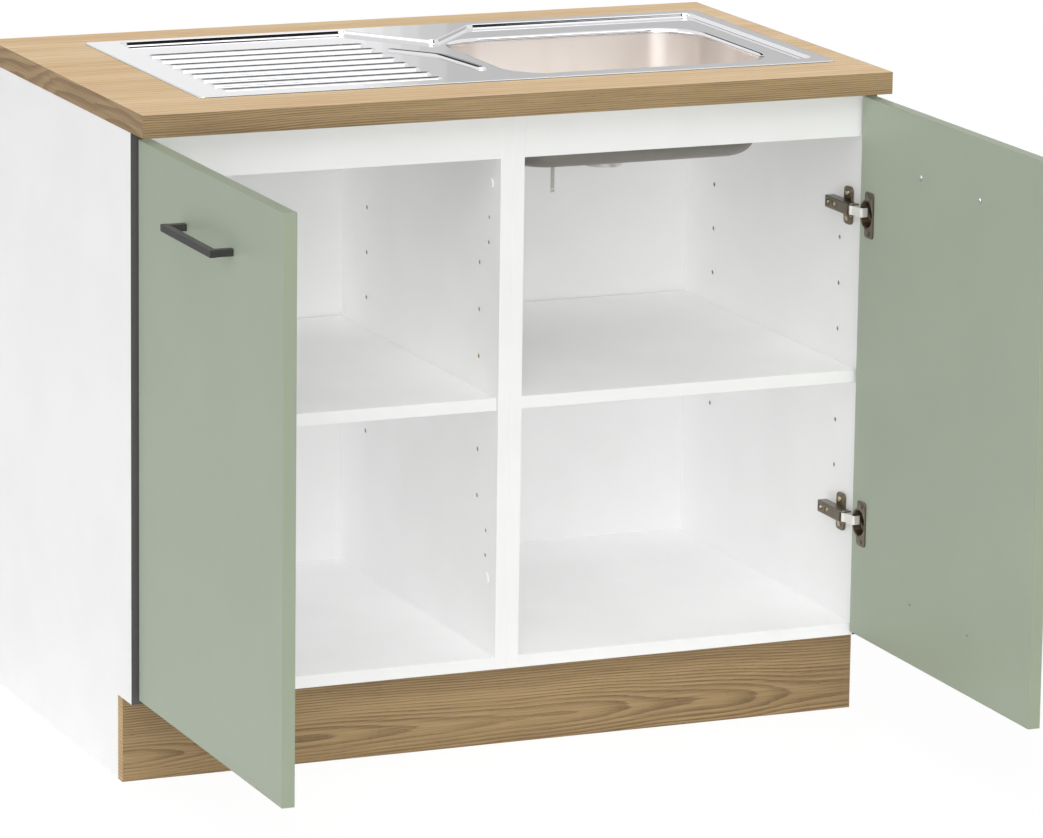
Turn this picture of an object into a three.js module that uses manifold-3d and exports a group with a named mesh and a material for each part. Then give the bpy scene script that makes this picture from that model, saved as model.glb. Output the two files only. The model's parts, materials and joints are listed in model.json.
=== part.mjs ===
// Kitchen sink unit, 1 m wide: two white carcasses side by side under one wood-decor worktop,
// an inset steel sink with a drainer on the left, two green doors on concealed hinges, a plinth.
// Millimetres. +X right, +Y back, +Z up. The origin is on the floor, half way along the plinth,
// in the middle of its thickness. The doors stand open by doorOpenAngle.

import * as THREE from 'three';
import { mergeVertices } from 'three/addons/utils/BufferGeometryUtils.js';
import Module from 'manifold-3d';

// ---- Driving dimensions ----------------------------------------------------------------------

// worktop and carcass
const unitHeight = 850;
const worktopThickness = 28;
const worktopOverhang = 43; // worktop front to carcass front
const worktopRearGap = 14; // carcass back to worktop back, for pipes
const boardThickness = 16;
const carcassDepth = 540;
const backThickness = 3;
const frontRailHeight = 60;
const rearRailHeight = 80;
const edgeBandThickness = 1;

// plinth
const plinthHeight = 108;
const plinthThickness = 16;
const plinthSetback = 35; // carcass front to plinth face
const plinthNotchClearance = 1;

// shelves, their pins and the hole rows
const shelfTopHeight = 458;
const shelfSideGap = 1;
const shelfFrontRecess = 3;
const shelfBackGap = 2;
const pinDiameter = 5;
const pinDepth = 9; // inside the board
const pinReach = 8; // inside the cabinet
const pinHoleClearance = 0.3; // on the radius
const pinSeatGap = 0.3; // pin to shelf
const holeDepth = 10;
const holePitch = 60;
const holesBelowShelf = 2;
const holesAboveShelf = 3;
const frontHoleSetback = 66; // carcass front to front hole row
const rearHoleSetback = 452; // carcass front to rear hole row

// bolts that join the two inner sides
const boltDiameter = 8;
const boltHeadDiameter = 14;
const boltHeadHeight = 1.5;
const boltHoleClearance = 0.3;
const boltSeatGap = 0.2; // board to bolt head
const boltSetback = 30;
const boltDropFromTop = 96;

// doors
const doorThickness = 16;
const doorHeight = 700;
const doorBottomHeight = 115;
const doorGap = 3; // between the two doors
const doorSideInset = 1.5; // outer side to door edge
const doorStandOff = 3; // carcass front to inner face of a shut door
const doorOpenAngle = 90;
const hingePivotFromEdge = 8.8; // along the door from its hinge edge
const hingePivotFromFace = 2.9; // behind the door's outer face

// concealed hinges
const hingeFromDoorEnd = 149; // door end to hinge centre
const cupDiameter = 35;
const cupDepth = 11.5;
const cupWall = 1;
const cupEdgeDistance = 3.5; // door edge to cup
const cupBoreClearance = 0.3;
const flangeWidth = 24;
const flangeHeight = 59;
const flangeThickness = 1.2;
const flangeCornerRadius = 5;
const dowelDiameter = 7;
const dowelLength = 8;
const dowelPitch = 48;
const dowelOffset = 7; // cup centre to dowel line, away from the door edge
const dowelHoleClearance = 0.3;
const plateSetback = 37; // carcass front to plate screws
const plateScrewPitch = 32;
const plateHoleDiameter = 5;
const plateLength = 49;
const plateWidth = 22;
const plateThickness = 4;
const plateCornerRadius = 5;
const plateScrewDiameter = 4.2;
const plateScrewHeadDiameter = 8;
const plateScrewHeadHeight = 1.5;
const plateScrewLength = 9; // inside the side
const hingeSeatGap = 0.2; // board to hinge plate, and door to flange
const armLength = 74;
const armHeight = 17; // off the side's inner face
const armWall = 2; // top of the arm
const armCheek = 1.6; // its two flanks
const armSetback = 3; // carcass front to the nose of the arm
const armNoseSlot = 8; // open length at the nose, where the link swings
const adjusterDiameter = 6;
const adjusterHeight = 0.8;
const adjusterSetbacks = [50, 68]; // carcass front to the adjusting screws
const linkPivotHeight = 13.5; // off the side's inner face
const linkPivotSetback = 6.5; // carcass front to link pivot
const linkWidth = 11.5;
const linkThickness = 2.6;
const linkKnuckleDiameter = 6;
const linkTipDiameter = 3;
const linkPinDiameter = 2.6;
const linkRunningClearance = 0.5;
const linkTipDepth = 5; // below the door's inner face
const linkElbowDrop = 22; // from link pivot towards the front
const linkElbowShare = 0.3; // of the tip's sideways reach

// handles
const handleLength = 172;
const handleLegPitch = 160;
const handleSection = 9;
const handleProjection = 30;
const handleFromDoorEnd = 76;
const handleScrewDiameter = 4;
const handleScrewHeadDiameter = 8;
const handleScrewHeadHeight = 2;
const handleScrewGrip = 10; // screw length inside the leg
const handleScrewClearance = 0.3;
const handleSeatGap = 0.2; // door to handle leg and to screw head
const pilotDiameter = 3;
const pilotDepth = 1.5;

// sink
const sinkWidth = 860;
const sinkDepth = 435;
const sinkCornerRadius = 8;
const sinkLeftMargin = 105; // worktop left end to sink rim
const sinkRightMargin = 35; // sink rim to worktop right end
const sinkFrontMargin = 92; // worktop front to sink rim
const sheetThickness = 1;
const sealThickness = 1;
const sealInset = 2; // rim edge to seal edge
const cutoutLap = 10; // rim edge to worktop cut-out
const cutoutCornerRadius = 20;
const panDrop = 5; // rim to pan floor
const panFrontInset = 30; // rim edges to the pan
const panLeftInset = 43;
const panRightInset = 18;
const panBackInset = 14;
const panBowlBackInset = 22;
const ledgeTipInset = 127; // rim back edge to the tip of the tap ledge
const ledgeLeftFromBowl = -96; // bowl's left edge to the tap ledge's corners, along +X
const ledgeTipFromBowl = -11;
const ledgeRightFromBowl = 78;
const ridgeCount = 8;
const ridgePitch = 38.4;
const ridgeWidth = 14;
const ridgeHeight = 3;
const ridgeFrontInset = 58; // rim front edge to first ridge
const ridgeLeftGap = 8; // pan wall to ridge ends
const ridgeEndFromBowl = -111; // bowl's left edge to the middle of a ridge's right end
const damWidth = 13; // the dam runs from beside the ledge tip round the bowl's corner
const damTopFromBowlLeft = 84;
const damTopFromBowlBack = 61;
const damBendFromBowlLeft = 40;
const damBendFromBowlBack = 117;
const damFootFromBowlLeft = 28;
const damFootFromBowlFront = 57;
const bowlSideClearance = 35; // right carcass's inner side to the bowl opening
const bowlRightInset = 57; // rim edges to the bowl opening
const bowlFrontInset = 56;
const bowlBackInset = 98;
const bowlDepth = 130; // worktop top to bowl underside
const bowlCornerRadius = 62;
const bowlDraft = 5; // per side over the full depth
const bowlFloorRadius = 28;
const bowlLipRadius = 5;

// waste
const wasteHoleDiameter = 52;
const wasteFlangeDiameter = 72;
const wasteFlangeThickness = 1.5;
const wasteFlangeBevel = 1;
const wasteNeckDiameter = 50;
const wasteNeckWall = 3;
const wasteNeckLength = 22;
const wasteSealThickness = 2;
const wasteNutDiameter = 64;
const wasteNutHeight = 10;
const wasteFit = 0.3; // on the radius
const wasteSeatGap = 0.2;
const plugDiameter = 41;
const plugRimDiameter = 48;
const plugRimThickness = 2;
const plugDepth = 9;
const plugTaper = 2; // on the radius
const plugRise = 1; // rim to the foot of the knob
const plugKnobNeckDiameter = 6;
const plugKnobDiameter = 12;
const plugKnobHeight = 9;

// sink clips and earth tag
const clipWidth = 20;
const clipSheet = 1.5;
const clipReach = 16;
const clipDrop = 6; // below the worktop
const clipEdgeGap = 2; // cut-out edge to clip
const clipSeatGap = 0.3;
const clipHead = 4.5; // length of the turned foot under the rim
const frontClipOffsets = [-235, 195]; // sink centre to clip
const sideClipFromRim = 108; // rim front edge to clip
const earthTagWidth = 5;
const earthTagLength = 34;
const earthTagFoot = 12;
const earthTagThickness = 1;
const earthTagFromBowlLeft = 66;
const earthTagFromBowlFront = 42;
const earthTagSeatGap = 0.2;

// cutters run this far past the face that they open, and joined pieces lap by it
const overshoot = 1;

// ---- Derived places --------------------------------------------------------------------------

const halfWidth = (sinkLeftMargin + sinkWidth + sinkRightMargin) / 2;
const carcassFront = -(plinthSetback + plinthThickness / 2);
const carcassBack = carcassFront + carcassDepth;
const worktopFront = carcassFront - worktopOverhang;
const worktopBack = carcassBack + backThickness + worktopRearGap;
const carcassTop = unitHeight - worktopThickness;
const bottomTopHeight = plinthHeight + boardThickness;
const notchBack = plinthThickness / 2 + plinthNotchClearance;
const pinHeight = shelfTopHeight - boardThickness - pinSeatGap - pinDiameter / 2;
const hingeHeights = {
  upper: doorBottomHeight + doorHeight - hingeFromDoorEnd,
  lower: doorBottomHeight + hingeFromDoorEnd,
};

// rim of the sink
const rimLeft = -halfWidth + sinkLeftMargin;
const rimRight = halfWidth - sinkRightMargin;
const sinkCentreX = (rimLeft + rimRight) / 2;
const rimFront = worktopFront + sinkFrontMargin;
const rimBack = rimFront + sinkDepth;
const rimBottom = unitHeight + sealThickness;
const rimTop = rimBottom + sheetThickness;
const panFloorTop = rimTop - panDrop;

// ---- Materials -------------------------------------------------------------------------------

const finish = (color, roughness, metalness = 0) =>
  new THREE.MeshStandardMaterial({ color, roughness, metalness });

const materials = {
  worktopOak: finish('#d3ac79', 0.5),
  plinthOak: finish('#98805a', 0.55),
  white: finish('#f2f2f2', 0.5),
  backWhite: finish('#e6e6e6', 0.6),
  green: finish('#a1ae99', 0.45),
  darkEdge: finish('#4d4e4d', 0.6),
  anthracite: finish('#35363a', 0.4, 0.4),
  steel: finish('#c9c7c4', 0.2, 1),
  nickel: finish('#8d857b', 0.3, 1),
  brightSteel: finish('#e2e0dc', 0.25, 1),
  zinc: finish('#d9d9d6', 0.35, 1),
  rubber: finish('#2b2b2b', 0.8),
  plastic: finish('#e9e9e9', 0.5),
};

// ---- Solid modelling helpers -----------------------------------------------------------------

const wasm = await Module();
wasm.setup();

function toSolid(geometry) {
  const bare = geometry.clone();
  bare.deleteAttribute('normal');
  bare.deleteAttribute('uv');
  const merged = mergeVertices(bare, 1e-4);
  return new wasm.Manifold(new wasm.Mesh({
    numProp: 3,
    vertProperties: new Float32Array(merged.attributes.position.array),
    triVerts: new Uint32Array(merged.index.array),
  }));
}

function toGeometry(solid) {
  const mesh = solid.getMesh();
  const geometry = new THREE.BufferGeometry();
  geometry.setAttribute('position', new THREE.BufferAttribute(new Float32Array(mesh.vertProperties), 3));
  geometry.setIndex(new THREE.BufferAttribute(new Uint32Array(mesh.triVerts), 1));
  return geometry;
}

const join = (geometries) =>
  toGeometry(geometries.map(toSolid).reduce((sum, next) => sum.add(next)));

const cut = (geometry, holes) =>
  toGeometry(holes.map(toSolid).reduce((rest, hole) => rest.subtract(hole), toSolid(geometry)));

// A box from its two opposite corners.
function block([x0, y0, z0], [x1, y1, z1]) {
  return new THREE.BoxGeometry(x1 - x0, y1 - y0, z1 - z0)
    .translate((x0 + x1) / 2, (y0 + y1) / 2, (z0 + z1) / 2);
}

// A round bar along 'x', 'y' or 'z', from one end to the other.
function bar(axis, [x, y, z], length, diameter, sides = 16) {
  const geometry = new THREE.CylinderGeometry(diameter / 2, diameter / 2, Math.abs(length), sides);
  if (axis === 'x') geometry.rotateZ(Math.PI / 2);
  if (axis === 'z') geometry.rotateX(Math.PI / 2);
  const shift = length / 2;
  return geometry.translate(
    x + (axis === 'x' ? shift : 0), y + (axis === 'y' ? shift : 0), z + (axis === 'z' ? shift : 0));
}

// A turned ring or disc about +Z from [radius, height] pairs that go round once.
function turned(profile, sides = 32) {
  const points = [...profile, profile[0]].map(([radius, height]) => new THREE.Vector2(radius, height));
  return new THREE.LatheGeometry(points, sides).rotateX(Math.PI / 2);
}

// A rectangle with round corners, centred on the origin.
function roundedRectangle(width, depth, radius) {
  const x = width / 2;
  const y = depth / 2;
  const shape = new THREE.Shape();
  shape.moveTo(-x + radius, -y);
  shape.lineTo(x - radius, -y);
  shape.absarc(x - radius, -y + radius, radius, -Math.PI / 2, 0, false);
  shape.lineTo(x, y - radius);
  shape.absarc(x - radius, y - radius, radius, 0, Math.PI / 2, false);
  shape.lineTo(-x + radius, y);
  shape.absarc(-x + radius, y - radius, radius, Math.PI / 2, Math.PI, false);
  shape.lineTo(-x, -y + radius);
  shape.absarc(-x + radius, -y + radius, radius, Math.PI, 1.5 * Math.PI, false);
  return shape;
}

// A flat plate: a shape in the XY plane from height z, this thick.
function plate(shape, z, thickness, curveSegments = 6) {
  return new THREE.ExtrudeGeometry(shape, { depth: thickness, bevelEnabled: false, curveSegments })
    .translate(0, 0, z);
}

const outline = (points) => new THREE.Shape(points.map(([x, y]) => new THREE.Vector2(x, y)));

// The same piece for the other side of the unit, still with its faces pointing out.
function mirrored(geometry) {
  const copy = geometry.clone().scale(-1, 1, 1);
  const flipped = copy.index ? copy : mergeVertices(copy, 1e-4);
  const index = flipped.index.array;
  for (let i = 0; i < index.length; i += 3) [index[i], index[i + 1]] = [index[i + 1], index[i]];
  return flipped;
}

const forSide = (side, leftGeometry) => (side === 'left' ? leftGeometry : mirrored(leftGeometry));

const unit = new THREE.Group();

function place(name, geometry, material, parent = unit) {
  const mesh = new THREE.Mesh(geometry, material);
  mesh.name = name;
  parent.add(mesh);
}

// ---- Worktop ---------------------------------------------------------------------------------

const cutoutWidth = sinkWidth - 2 * cutoutLap;
const cutoutDepth = sinkDepth - 2 * cutoutLap;
const cutoutLeft = rimLeft + cutoutLap;
const cutoutRight = rimRight - cutoutLap;
const cutoutFront = rimFront + cutoutLap;
const sinkCentreY = rimFront + sinkDepth / 2;

const worktopBlank = block(
  [-halfWidth, worktopFront, carcassTop], [halfWidth, worktopBack, unitHeight]);
const cutoutPlug = plate(
  roundedRectangle(cutoutWidth, cutoutDepth, cutoutCornerRadius),
  carcassTop - overshoot, worktopThickness + 2 * overshoot).translate(sinkCentreX, sinkCentreY, 0);
place('worktop', cut(worktopBlank, [cutoutPlug]), materials.worktopOak);

// ---- Carcasses -------------------------------------------------------------------------------

// Hole rows for the shelf pins, bored from the face at faceX towards +X or -X.
function pinHoles(faceX, direction) {
  const holes = [];
  for (const setback of [frontHoleSetback, rearHoleSetback]) {
    for (let step = -holesBelowShelf; step <= holesAboveShelf; step += 1) {
      const start = [
        faceX - direction * overshoot, carcassFront + setback, pinHeight + step * holePitch];
      holes.push(bar('x', start, direction * (holeDepth + overshoot), pinDiameter + 2 * pinHoleClearance, 8));
    }
  }
  return holes;
}

// Screw holes for the hinge plates. The inner sides have them too, for doors hung the other way.
function plateHoles(faceX, direction) {
  const holes = [];
  for (const height of Object.values(hingeHeights)) {
    for (const end of [-1, 1]) {
      const start = [
        faceX - direction * overshoot, carcassFront + plateSetback, height + (end * plateScrewPitch) / 2];
      holes.push(bar('x', start, direction * (holeDepth + overshoot), plateHoleDiameter, 8));
    }
  }
  return holes;
}

const boltPlaces = [
  [carcassFront + boltSetback, carcassTop - boltDropFromTop],
  [carcassFront + boltSetback, bottomTopHeight + boltDropFromTop],
];

// A carcass side with its toe notch, between two X planes.
function sideBoard(x0, x1, front) {
  const board = block([x0, front, 0], [x1, carcassBack, carcassTop]);
  const notch = block(
    [x0 - overshoot, front - overshoot, -overshoot], [x1 + overshoot, notchBack, plinthHeight]);
  return cut(board, [notch]);
}

const outerInnerFace = halfWidth - boardThickness;

for (const side of ['left', 'right']) {
  // outer side: the open face looks to the middle of the unit
  const outer = cut(
    sideBoard(-halfWidth, -outerInnerFace, carcassFront + edgeBandThickness),
    [...pinHoles(-outerInnerFace, -1), ...plateHoles(-outerInnerFace, -1)]);
  place(`${side}_outer_side`, forSide(side, outer), materials.white);

  const edgeBand = block(
    [-halfWidth, carcassFront, plinthHeight],
    [-outerInnerFace, carcassFront + edgeBandThickness, carcassTop]);
  place(`${side}_edge_band`, forSide(side, edgeBand), materials.darkEdge);

  const boltHoles = boltPlaces.map(([y, z]) => bar('x', [-boardThickness - overshoot, y, z],
    boardThickness + 2 * overshoot, boltDiameter + 2 * boltHoleClearance, 12));
  const inner = cut(
    sideBoard(-boardThickness, 0, carcassFront),
    [...pinHoles(-boardThickness, 1), ...plateHoles(-boardThickness, 1), ...boltHoles]);
  place(`${side}_inner_side`, forSide(side, inner), materials.white);

  const inside = [-outerInnerFace, -boardThickness];
  const bottom = block(
    [inside[0], carcassFront, plinthHeight], [inside[1], carcassBack, bottomTopHeight]);
  place(`${side}_bottom`, forSide(side, bottom), materials.white);

  const frontRail = block(
    [inside[0], carcassFront, carcassTop - frontRailHeight],
    [inside[1], carcassFront + boardThickness, carcassTop]);
  place(`${side}_front_rail`, forSide(side, frontRail), materials.white);

  const rearRail = block(
    [inside[0], carcassBack - boardThickness, carcassTop - rearRailHeight],
    [inside[1], carcassBack, carcassTop]);
  place(`${side}_rear_rail`, forSide(side, rearRail), materials.white);

  const back = block(
    [-halfWidth + backThickness, carcassBack, plinthHeight],
    [-backThickness / 2, carcassBack + backThickness, carcassTop]);
  place(`${side}_back`, forSide(side, back), materials.backWhite);

  const shelf = block(
    [inside[0] + shelfSideGap, carcassFront + shelfFrontRecess, shelfTopHeight - boardThickness],
    [inside[1] - shelfSideGap, carcassBack - shelfBackGap, shelfTopHeight]);
  place(`${side}_shelf`, forSide(side, shelf), materials.white);

  for (const [wall, faceX, direction] of [['outer', inside[0], -1], ['inner', inside[1], 1]]) {
    for (const [row, setback] of [['front', frontHoleSetback], ['rear', rearHoleSetback]]) {
      const start = [faceX - direction * pinReach, carcassFront + setback, pinHeight];
      const pin = bar('x', start, direction * (pinReach + pinDepth), pinDiameter, 12);
      place(`${side}_shelf_pin_${wall}_${row}`, forSide(side, pin), materials.zinc);
    }
  }
}

for (const [name, [y, z]] of [['upper', boltPlaces[0]], ['lower', boltPlaces[1]]]) {
  const seat = boardThickness + boltSeatGap;
  const shank = bar('x', [-seat, y, z], 2 * seat, boltDiameter, 12);
  const heads = [-1, 1].map((end) =>
    bar('x', [end * seat, y, z], end * boltHeadHeight, boltHeadDiameter, 12));
  place(`connector_bolt_${name}`, join([shank, ...heads]), materials.zinc);
}

// ---- Plinth ----------------------------------------------------------------------------------

place('plinth', block(
  [-halfWidth, -plinthThickness / 2, 0],
  [halfWidth, plinthThickness / 2, plinthHeight]), materials.plinthOak);

// ---- Doors and handles -----------------------------------------------------------------------

// All of this is drawn for the left side and mirrored for the right one. A door's own frame has
// its origin on the hinge axis, with the door along +X and its outer face towards -Y.
const doorWidth = halfWidth - doorSideInset - doorGap / 2;
const doorEdge = -hingePivotFromEdge;
const doorOuter = -hingePivotFromFace;
const doorInner = doorOuter + doorThickness;
const doorMiddle = doorEdge + doorWidth / 2;
const doorTop = doorBottomHeight + doorHeight;
const hingeAxis = new THREE.Vector2(
  -halfWidth + doorSideInset + hingePivotFromEdge,
  carcassFront - doorStandOff - doorThickness + hingePivotFromFace);
const cupCentreX = doorEdge + cupEdgeDistance + cupDiameter / 2;
const handleHeight = doorTop - handleFromDoorEnd;
const pilotHeight = doorBottomHeight + handleFromDoorEnd;
const handleXs = [-1, 1].map((end) => doorMiddle + (end * handleLegPitch) / 2);

function doorBoard() {
  const board = block(
    [doorEdge, doorOuter, doorBottomHeight], [doorEdge + doorWidth, doorInner, doorTop]);
  const holes = [];
  for (const x of handleXs) {
    holes.push(bar('y', [x, doorOuter - overshoot, handleHeight], doorThickness + 2 * overshoot,
      handleScrewDiameter + 2 * handleScrewClearance, 12));
    holes.push(bar('y', [x, doorInner + overshoot, pilotHeight], -pilotDepth - overshoot, pilotDiameter, 8));
  }
  for (const height of Object.values(hingeHeights)) {
    holes.push(bar('y', [cupCentreX, doorInner + overshoot, height],
      -cupDepth - cupBoreClearance - overshoot, cupDiameter + 2 * cupBoreClearance, 32));
    for (const end of [-1, 1]) {
      const start = [cupCentreX + dowelOffset, doorInner + overshoot, height + (end * dowelPitch) / 2];
      holes.push(bar('y', start, -dowelLength - dowelHoleClearance - overshoot,
        dowelDiameter + 2 * dowelHoleClearance, 12));
    }
  }
  return cut(board, holes);
}

function handle() {
  const low = handleHeight - handleSection / 2;
  const high = handleHeight + handleSection / 2;
  const front = doorOuter - handleProjection;
  const grip = block(
    [doorMiddle - handleLength / 2, front, low],
    [doorMiddle + handleLength / 2, front + handleSection, high]);
  const legs = handleXs.map((x) => block(
    [x - handleSection / 2, front + handleSection / 2, low],
    [x + handleSection / 2, doorOuter - handleSeatGap, high]));
  const bores = handleXs.map((x) => bar('y', [x, doorOuter + overshoot, handleHeight],
    -handleScrewGrip - 2 * overshoot, handleScrewDiameter + 2 * handleScrewClearance, 12));
  return cut(join([grip, ...legs]), bores);
}

function handleScrew(x) {
  const seat = doorInner + handleSeatGap;
  const head = bar('y', [x, seat, handleHeight], handleScrewHeadHeight, handleScrewHeadDiameter, 16);
  const shank = bar('y', [x, seat + handleScrewHeadHeight / 2, handleHeight],
    -handleScrewHeadHeight / 2 - handleSeatGap - doorThickness - handleScrewGrip, handleScrewDiameter, 12);
  return join([head, shank]);
}

// ---- Concealed hinges ------------------------------------------------------------------------

// The cup with its flange and the two dowels that hold it, opening at the door's inner face.
function hingeCup(height) {
  const top = hingeSeatGap + flangeThickness;
  const can = bar('z', [0, 0, -cupDepth], cupDepth + top, cupDiameter, 32);
  const flange = plate(
    roundedRectangle(flangeWidth, flangeHeight, flangeCornerRadius), hingeSeatGap, flangeThickness, 3);
  const dowels = [-1, 1].map((end) => bar('z',
    [dowelOffset, (end * dowelPitch) / 2, -dowelLength], dowelLength + top, dowelDiameter, 12));
  const hollow = bar('z', [0, 0, -cupDepth + cupWall], cupDepth + top, cupDiameter - 2 * cupWall, 32);
  return cut(join([can, flange, ...dowels]), [hollow])
    .rotateX(-Math.PI / 2).translate(cupCentreX, doorInner, height);
}

const armWidth = linkWidth + 2 * linkRunningClearance + 2 * armCheek;
const linkPivot = new THREE.Vector2(
  -outerInnerFace + linkPivotHeight, carcassFront + linkPivotSetback);

// The hinge plate with its screws and the arm on it, against the side's inner face.
function hingeArm(height) {
  const wallX = -outerInnerFace + hingeSeatGap;
  const plateTop = wallX + plateThickness;
  const armTop = -outerInnerFace + armHeight;
  const plateY = carcassFront + plateSetback;
  const nose = carcassFront + armSetback;
  const wings = plate(roundedRectangle(plateLength, plateWidth, plateCornerRadius), 0, plateThickness, 3)
    .rotateY(Math.PI / 2).translate(wallX, plateY, height);
  const screws = [-1, 1].map((end) => {
    const z = height + (end * plateScrewPitch) / 2;
    return join([
      bar('x', [plateTop - overshoot, plateY, z], overshoot + plateScrewHeadHeight,
        plateScrewHeadDiameter, 12),
      bar('x', [plateTop, plateY, z], -plateThickness - hingeSeatGap - plateScrewLength,
        plateScrewDiameter, 8),
    ]);
  });
  const channel = block(
    [plateTop - overshoot, nose, height - armWidth / 2],
    [armTop, nose + armLength, height + armWidth / 2]);
  const inside = armWidth / 2 - armCheek;
  const underside = block(
    [plateTop - 2 * overshoot, nose - overshoot, height - inside],
    [armTop - armWall, plateY - plateWidth / 2, height + inside]);
  const rearUnderside = block(
    [plateTop - 2 * overshoot, plateY + plateWidth / 2, height - inside],
    [armTop - armWall, nose + armLength - armWall, height + inside]);
  const noseSlot = block(
    [plateTop - 2 * overshoot, nose - overshoot, height - inside],
    [armTop + overshoot, nose + armNoseSlot, height + inside]);
  const arm = cut(channel, [underside, rearUnderside, noseSlot]);
  const rivet = bar('z', [linkPivot.x, linkPivot.y, height - armWidth / 2], armWidth, linkPinDiameter, 12);
  const adjusters = adjusterSetbacks.map((setback) => bar('x',
    [armTop - armWall / 2, carcassFront + setback, height],
    armWall / 2 + adjusterHeight, adjusterDiameter, 12));
  return join([wings, ...screws, arm, rivet, ...adjusters]);
}

// The link's tip lies as far from the link's pivot with the door shut as with it open, which
// gives its place along the door. Points here are on the door, from the hinge axis.
function linkTipOnDoor() {
  const turn = THREE.MathUtils.degToRad(doorOpenAngle);
  const arm = linkPivot.clone().sub(hingeAxis);
  const bisector = arm.clone().sub(arm.clone().rotateAround(new THREE.Vector2(), turn));
  const y = doorInner - linkTipDepth;
  return new THREE.Vector2((-y * bisector.y) / bisector.x, y);
}

// Where the tip lies from the link's pivot when the door has turned open by this angle.
function linkTipAt(degrees) {
  const turned = linkTipOnDoor().rotateAround(new THREE.Vector2(), -THREE.MathUtils.degToRad(degrees));
  return turned.add(hingeAxis).sub(linkPivot);
}

// How far the link turns while the door goes from shut to open, in degrees.
export const linkSwing = THREE.MathUtils.radToDeg(
  linkTipAt(doorOpenAngle).angle() - linkTipAt(0).angle());

// A flat strap with round ends between two points, this wide along Z.
function strap(from, to, thickness) {
  const along = to.clone().sub(from);
  const shape = new THREE.Shape();
  shape.absarc(0, 0, thickness / 2, Math.PI / 2, 1.5 * Math.PI, false);
  shape.absarc(along.length(), 0, thickness / 2, -Math.PI / 2, Math.PI / 2, false);
  return plate(shape, -linkWidth / 2, linkWidth, 4)
    .rotateZ(along.angle()).translate(from.x, from.y, 0);
}

// The cranked link, drawn from its pivot as it lies with the door open.
function hingeLink() {
  const pivot = new THREE.Vector2();
  const tip = linkTipAt(doorOpenAngle);
  const elbow = new THREE.Vector2(linkElbowShare * tip.x, -linkElbowDrop);
  const knuckle = bar('z', [0, 0, -linkWidth / 2], linkWidth, linkKnuckleDiameter, 20);
  const end = bar('z', [tip.x, tip.y, -linkWidth / 2], linkWidth, linkTipDiameter, 16);
  const hole = bar('z', [0, 0, -linkWidth / 2 - overshoot], linkWidth + 2 * overshoot,
    linkPinDiameter + 2 * linkRunningClearance, 16);
  return cut(
    join([strap(pivot, elbow, linkThickness), strap(elbow, tip, linkThickness), knuckle, end]), [hole]);
}

for (const [side, hand] of [['left', -1], ['right', 1]]) {
  const door = new THREE.Group();
  door.position.set(-hand * hingeAxis.x, hingeAxis.y, 0);
  door.rotation.z = hand * THREE.MathUtils.degToRad(doorOpenAngle);
  unit.add(door);
  place(`${side}_door`, forSide(side, doorBoard()), materials.green, door);
  place(`${side}_handle`, forSide(side, handle()), materials.anthracite, door);
  for (const [end, x] of [['hinge_side', handleXs[0]], ['free_side', handleXs[1]]]) {
    place(`${side}_handle_screw_${end}`, forSide(side, handleScrew(x)), materials.zinc, door);
  }
  for (const [level, height] of Object.entries(hingeHeights)) {
    place(`${side}_${level}_hinge_cup`, forSide(side, hingeCup(height)), materials.nickel, door);
    place(`${side}_${level}_hinge_arm`, forSide(side, hingeArm(height)), materials.nickel);
    const link = new THREE.Group();
    link.position.set(-hand * linkPivot.x, linkPivot.y, height);
    unit.add(link);
    place(`${side}_${level}_hinge_link`, forSide(side, hingeLink()), materials.brightSteel, link);
  }
}

// ---- Sink ------------------------------------------------------------------------------------

// A closed outline moved outwards by this distance, with sharp corners kept.
function offsetOutline(points, distance) {
  return points.map((point, i) => {
    const before = points[(i + points.length - 1) % points.length];
    const after = points[(i + 1) % points.length];
    const normal = (a, b) => new THREE.Vector2(b[1] - a[1], a[0] - b[0]).normalize();
    const n0 = normal(before, point);
    const n1 = normal(point, after);
    const mitre = n0.clone().add(n1).divideScalar(1 + n0.dot(n1));
    return [point[0] + distance * mitre.x, point[1] + distance * mitre.y];
  });
}

// A rounded-rectangle tub with its corners on the same centres, from rings of {z, grow}.
function tub(width, depth, cornerRadius, rings) {
  const perCorner = 8;
  const positions = [];
  for (const { z, grow } of rings) {
    for (let corner = 0; corner < 4; corner += 1) {
      const cx = (corner === 0 || corner === 3 ? 1 : -1) * (width / 2 - cornerRadius);
      const cy = (corner < 2 ? 1 : -1) * (depth / 2 - cornerRadius);
      for (let i = 0; i < perCorner; i += 1) {
        const angle = ((corner + i / (perCorner - 1)) * Math.PI) / 2;
        const radius = cornerRadius + grow;
        positions.push(cx + radius * Math.cos(angle), cy + radius * Math.sin(angle), z);
      }
    }
  }
  const count = 4 * perCorner;
  const index = [];
  for (let ring = 0; ring + 1 < rings.length; ring += 1) {
    for (let i = 0; i < count; i += 1) {
      const a = ring * count + i;
      const b = ring * count + ((i + 1) % count);
      index.push(a, a + count, b, b, a + count, b + count);
    }
  }
  const last = (rings.length - 1) * count;
  for (let i = 1; i + 1 < count; i += 1) {
    index.push(0, i, i + 1);
    index.push(last, last + i + 1, last + i);
  }
  const geometry = new THREE.BufferGeometry();
  geometry.setAttribute('position', new THREE.BufferAttribute(new Float32Array(positions), 3));
  geometry.setIndex(index);
  return geometry;
}

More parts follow.
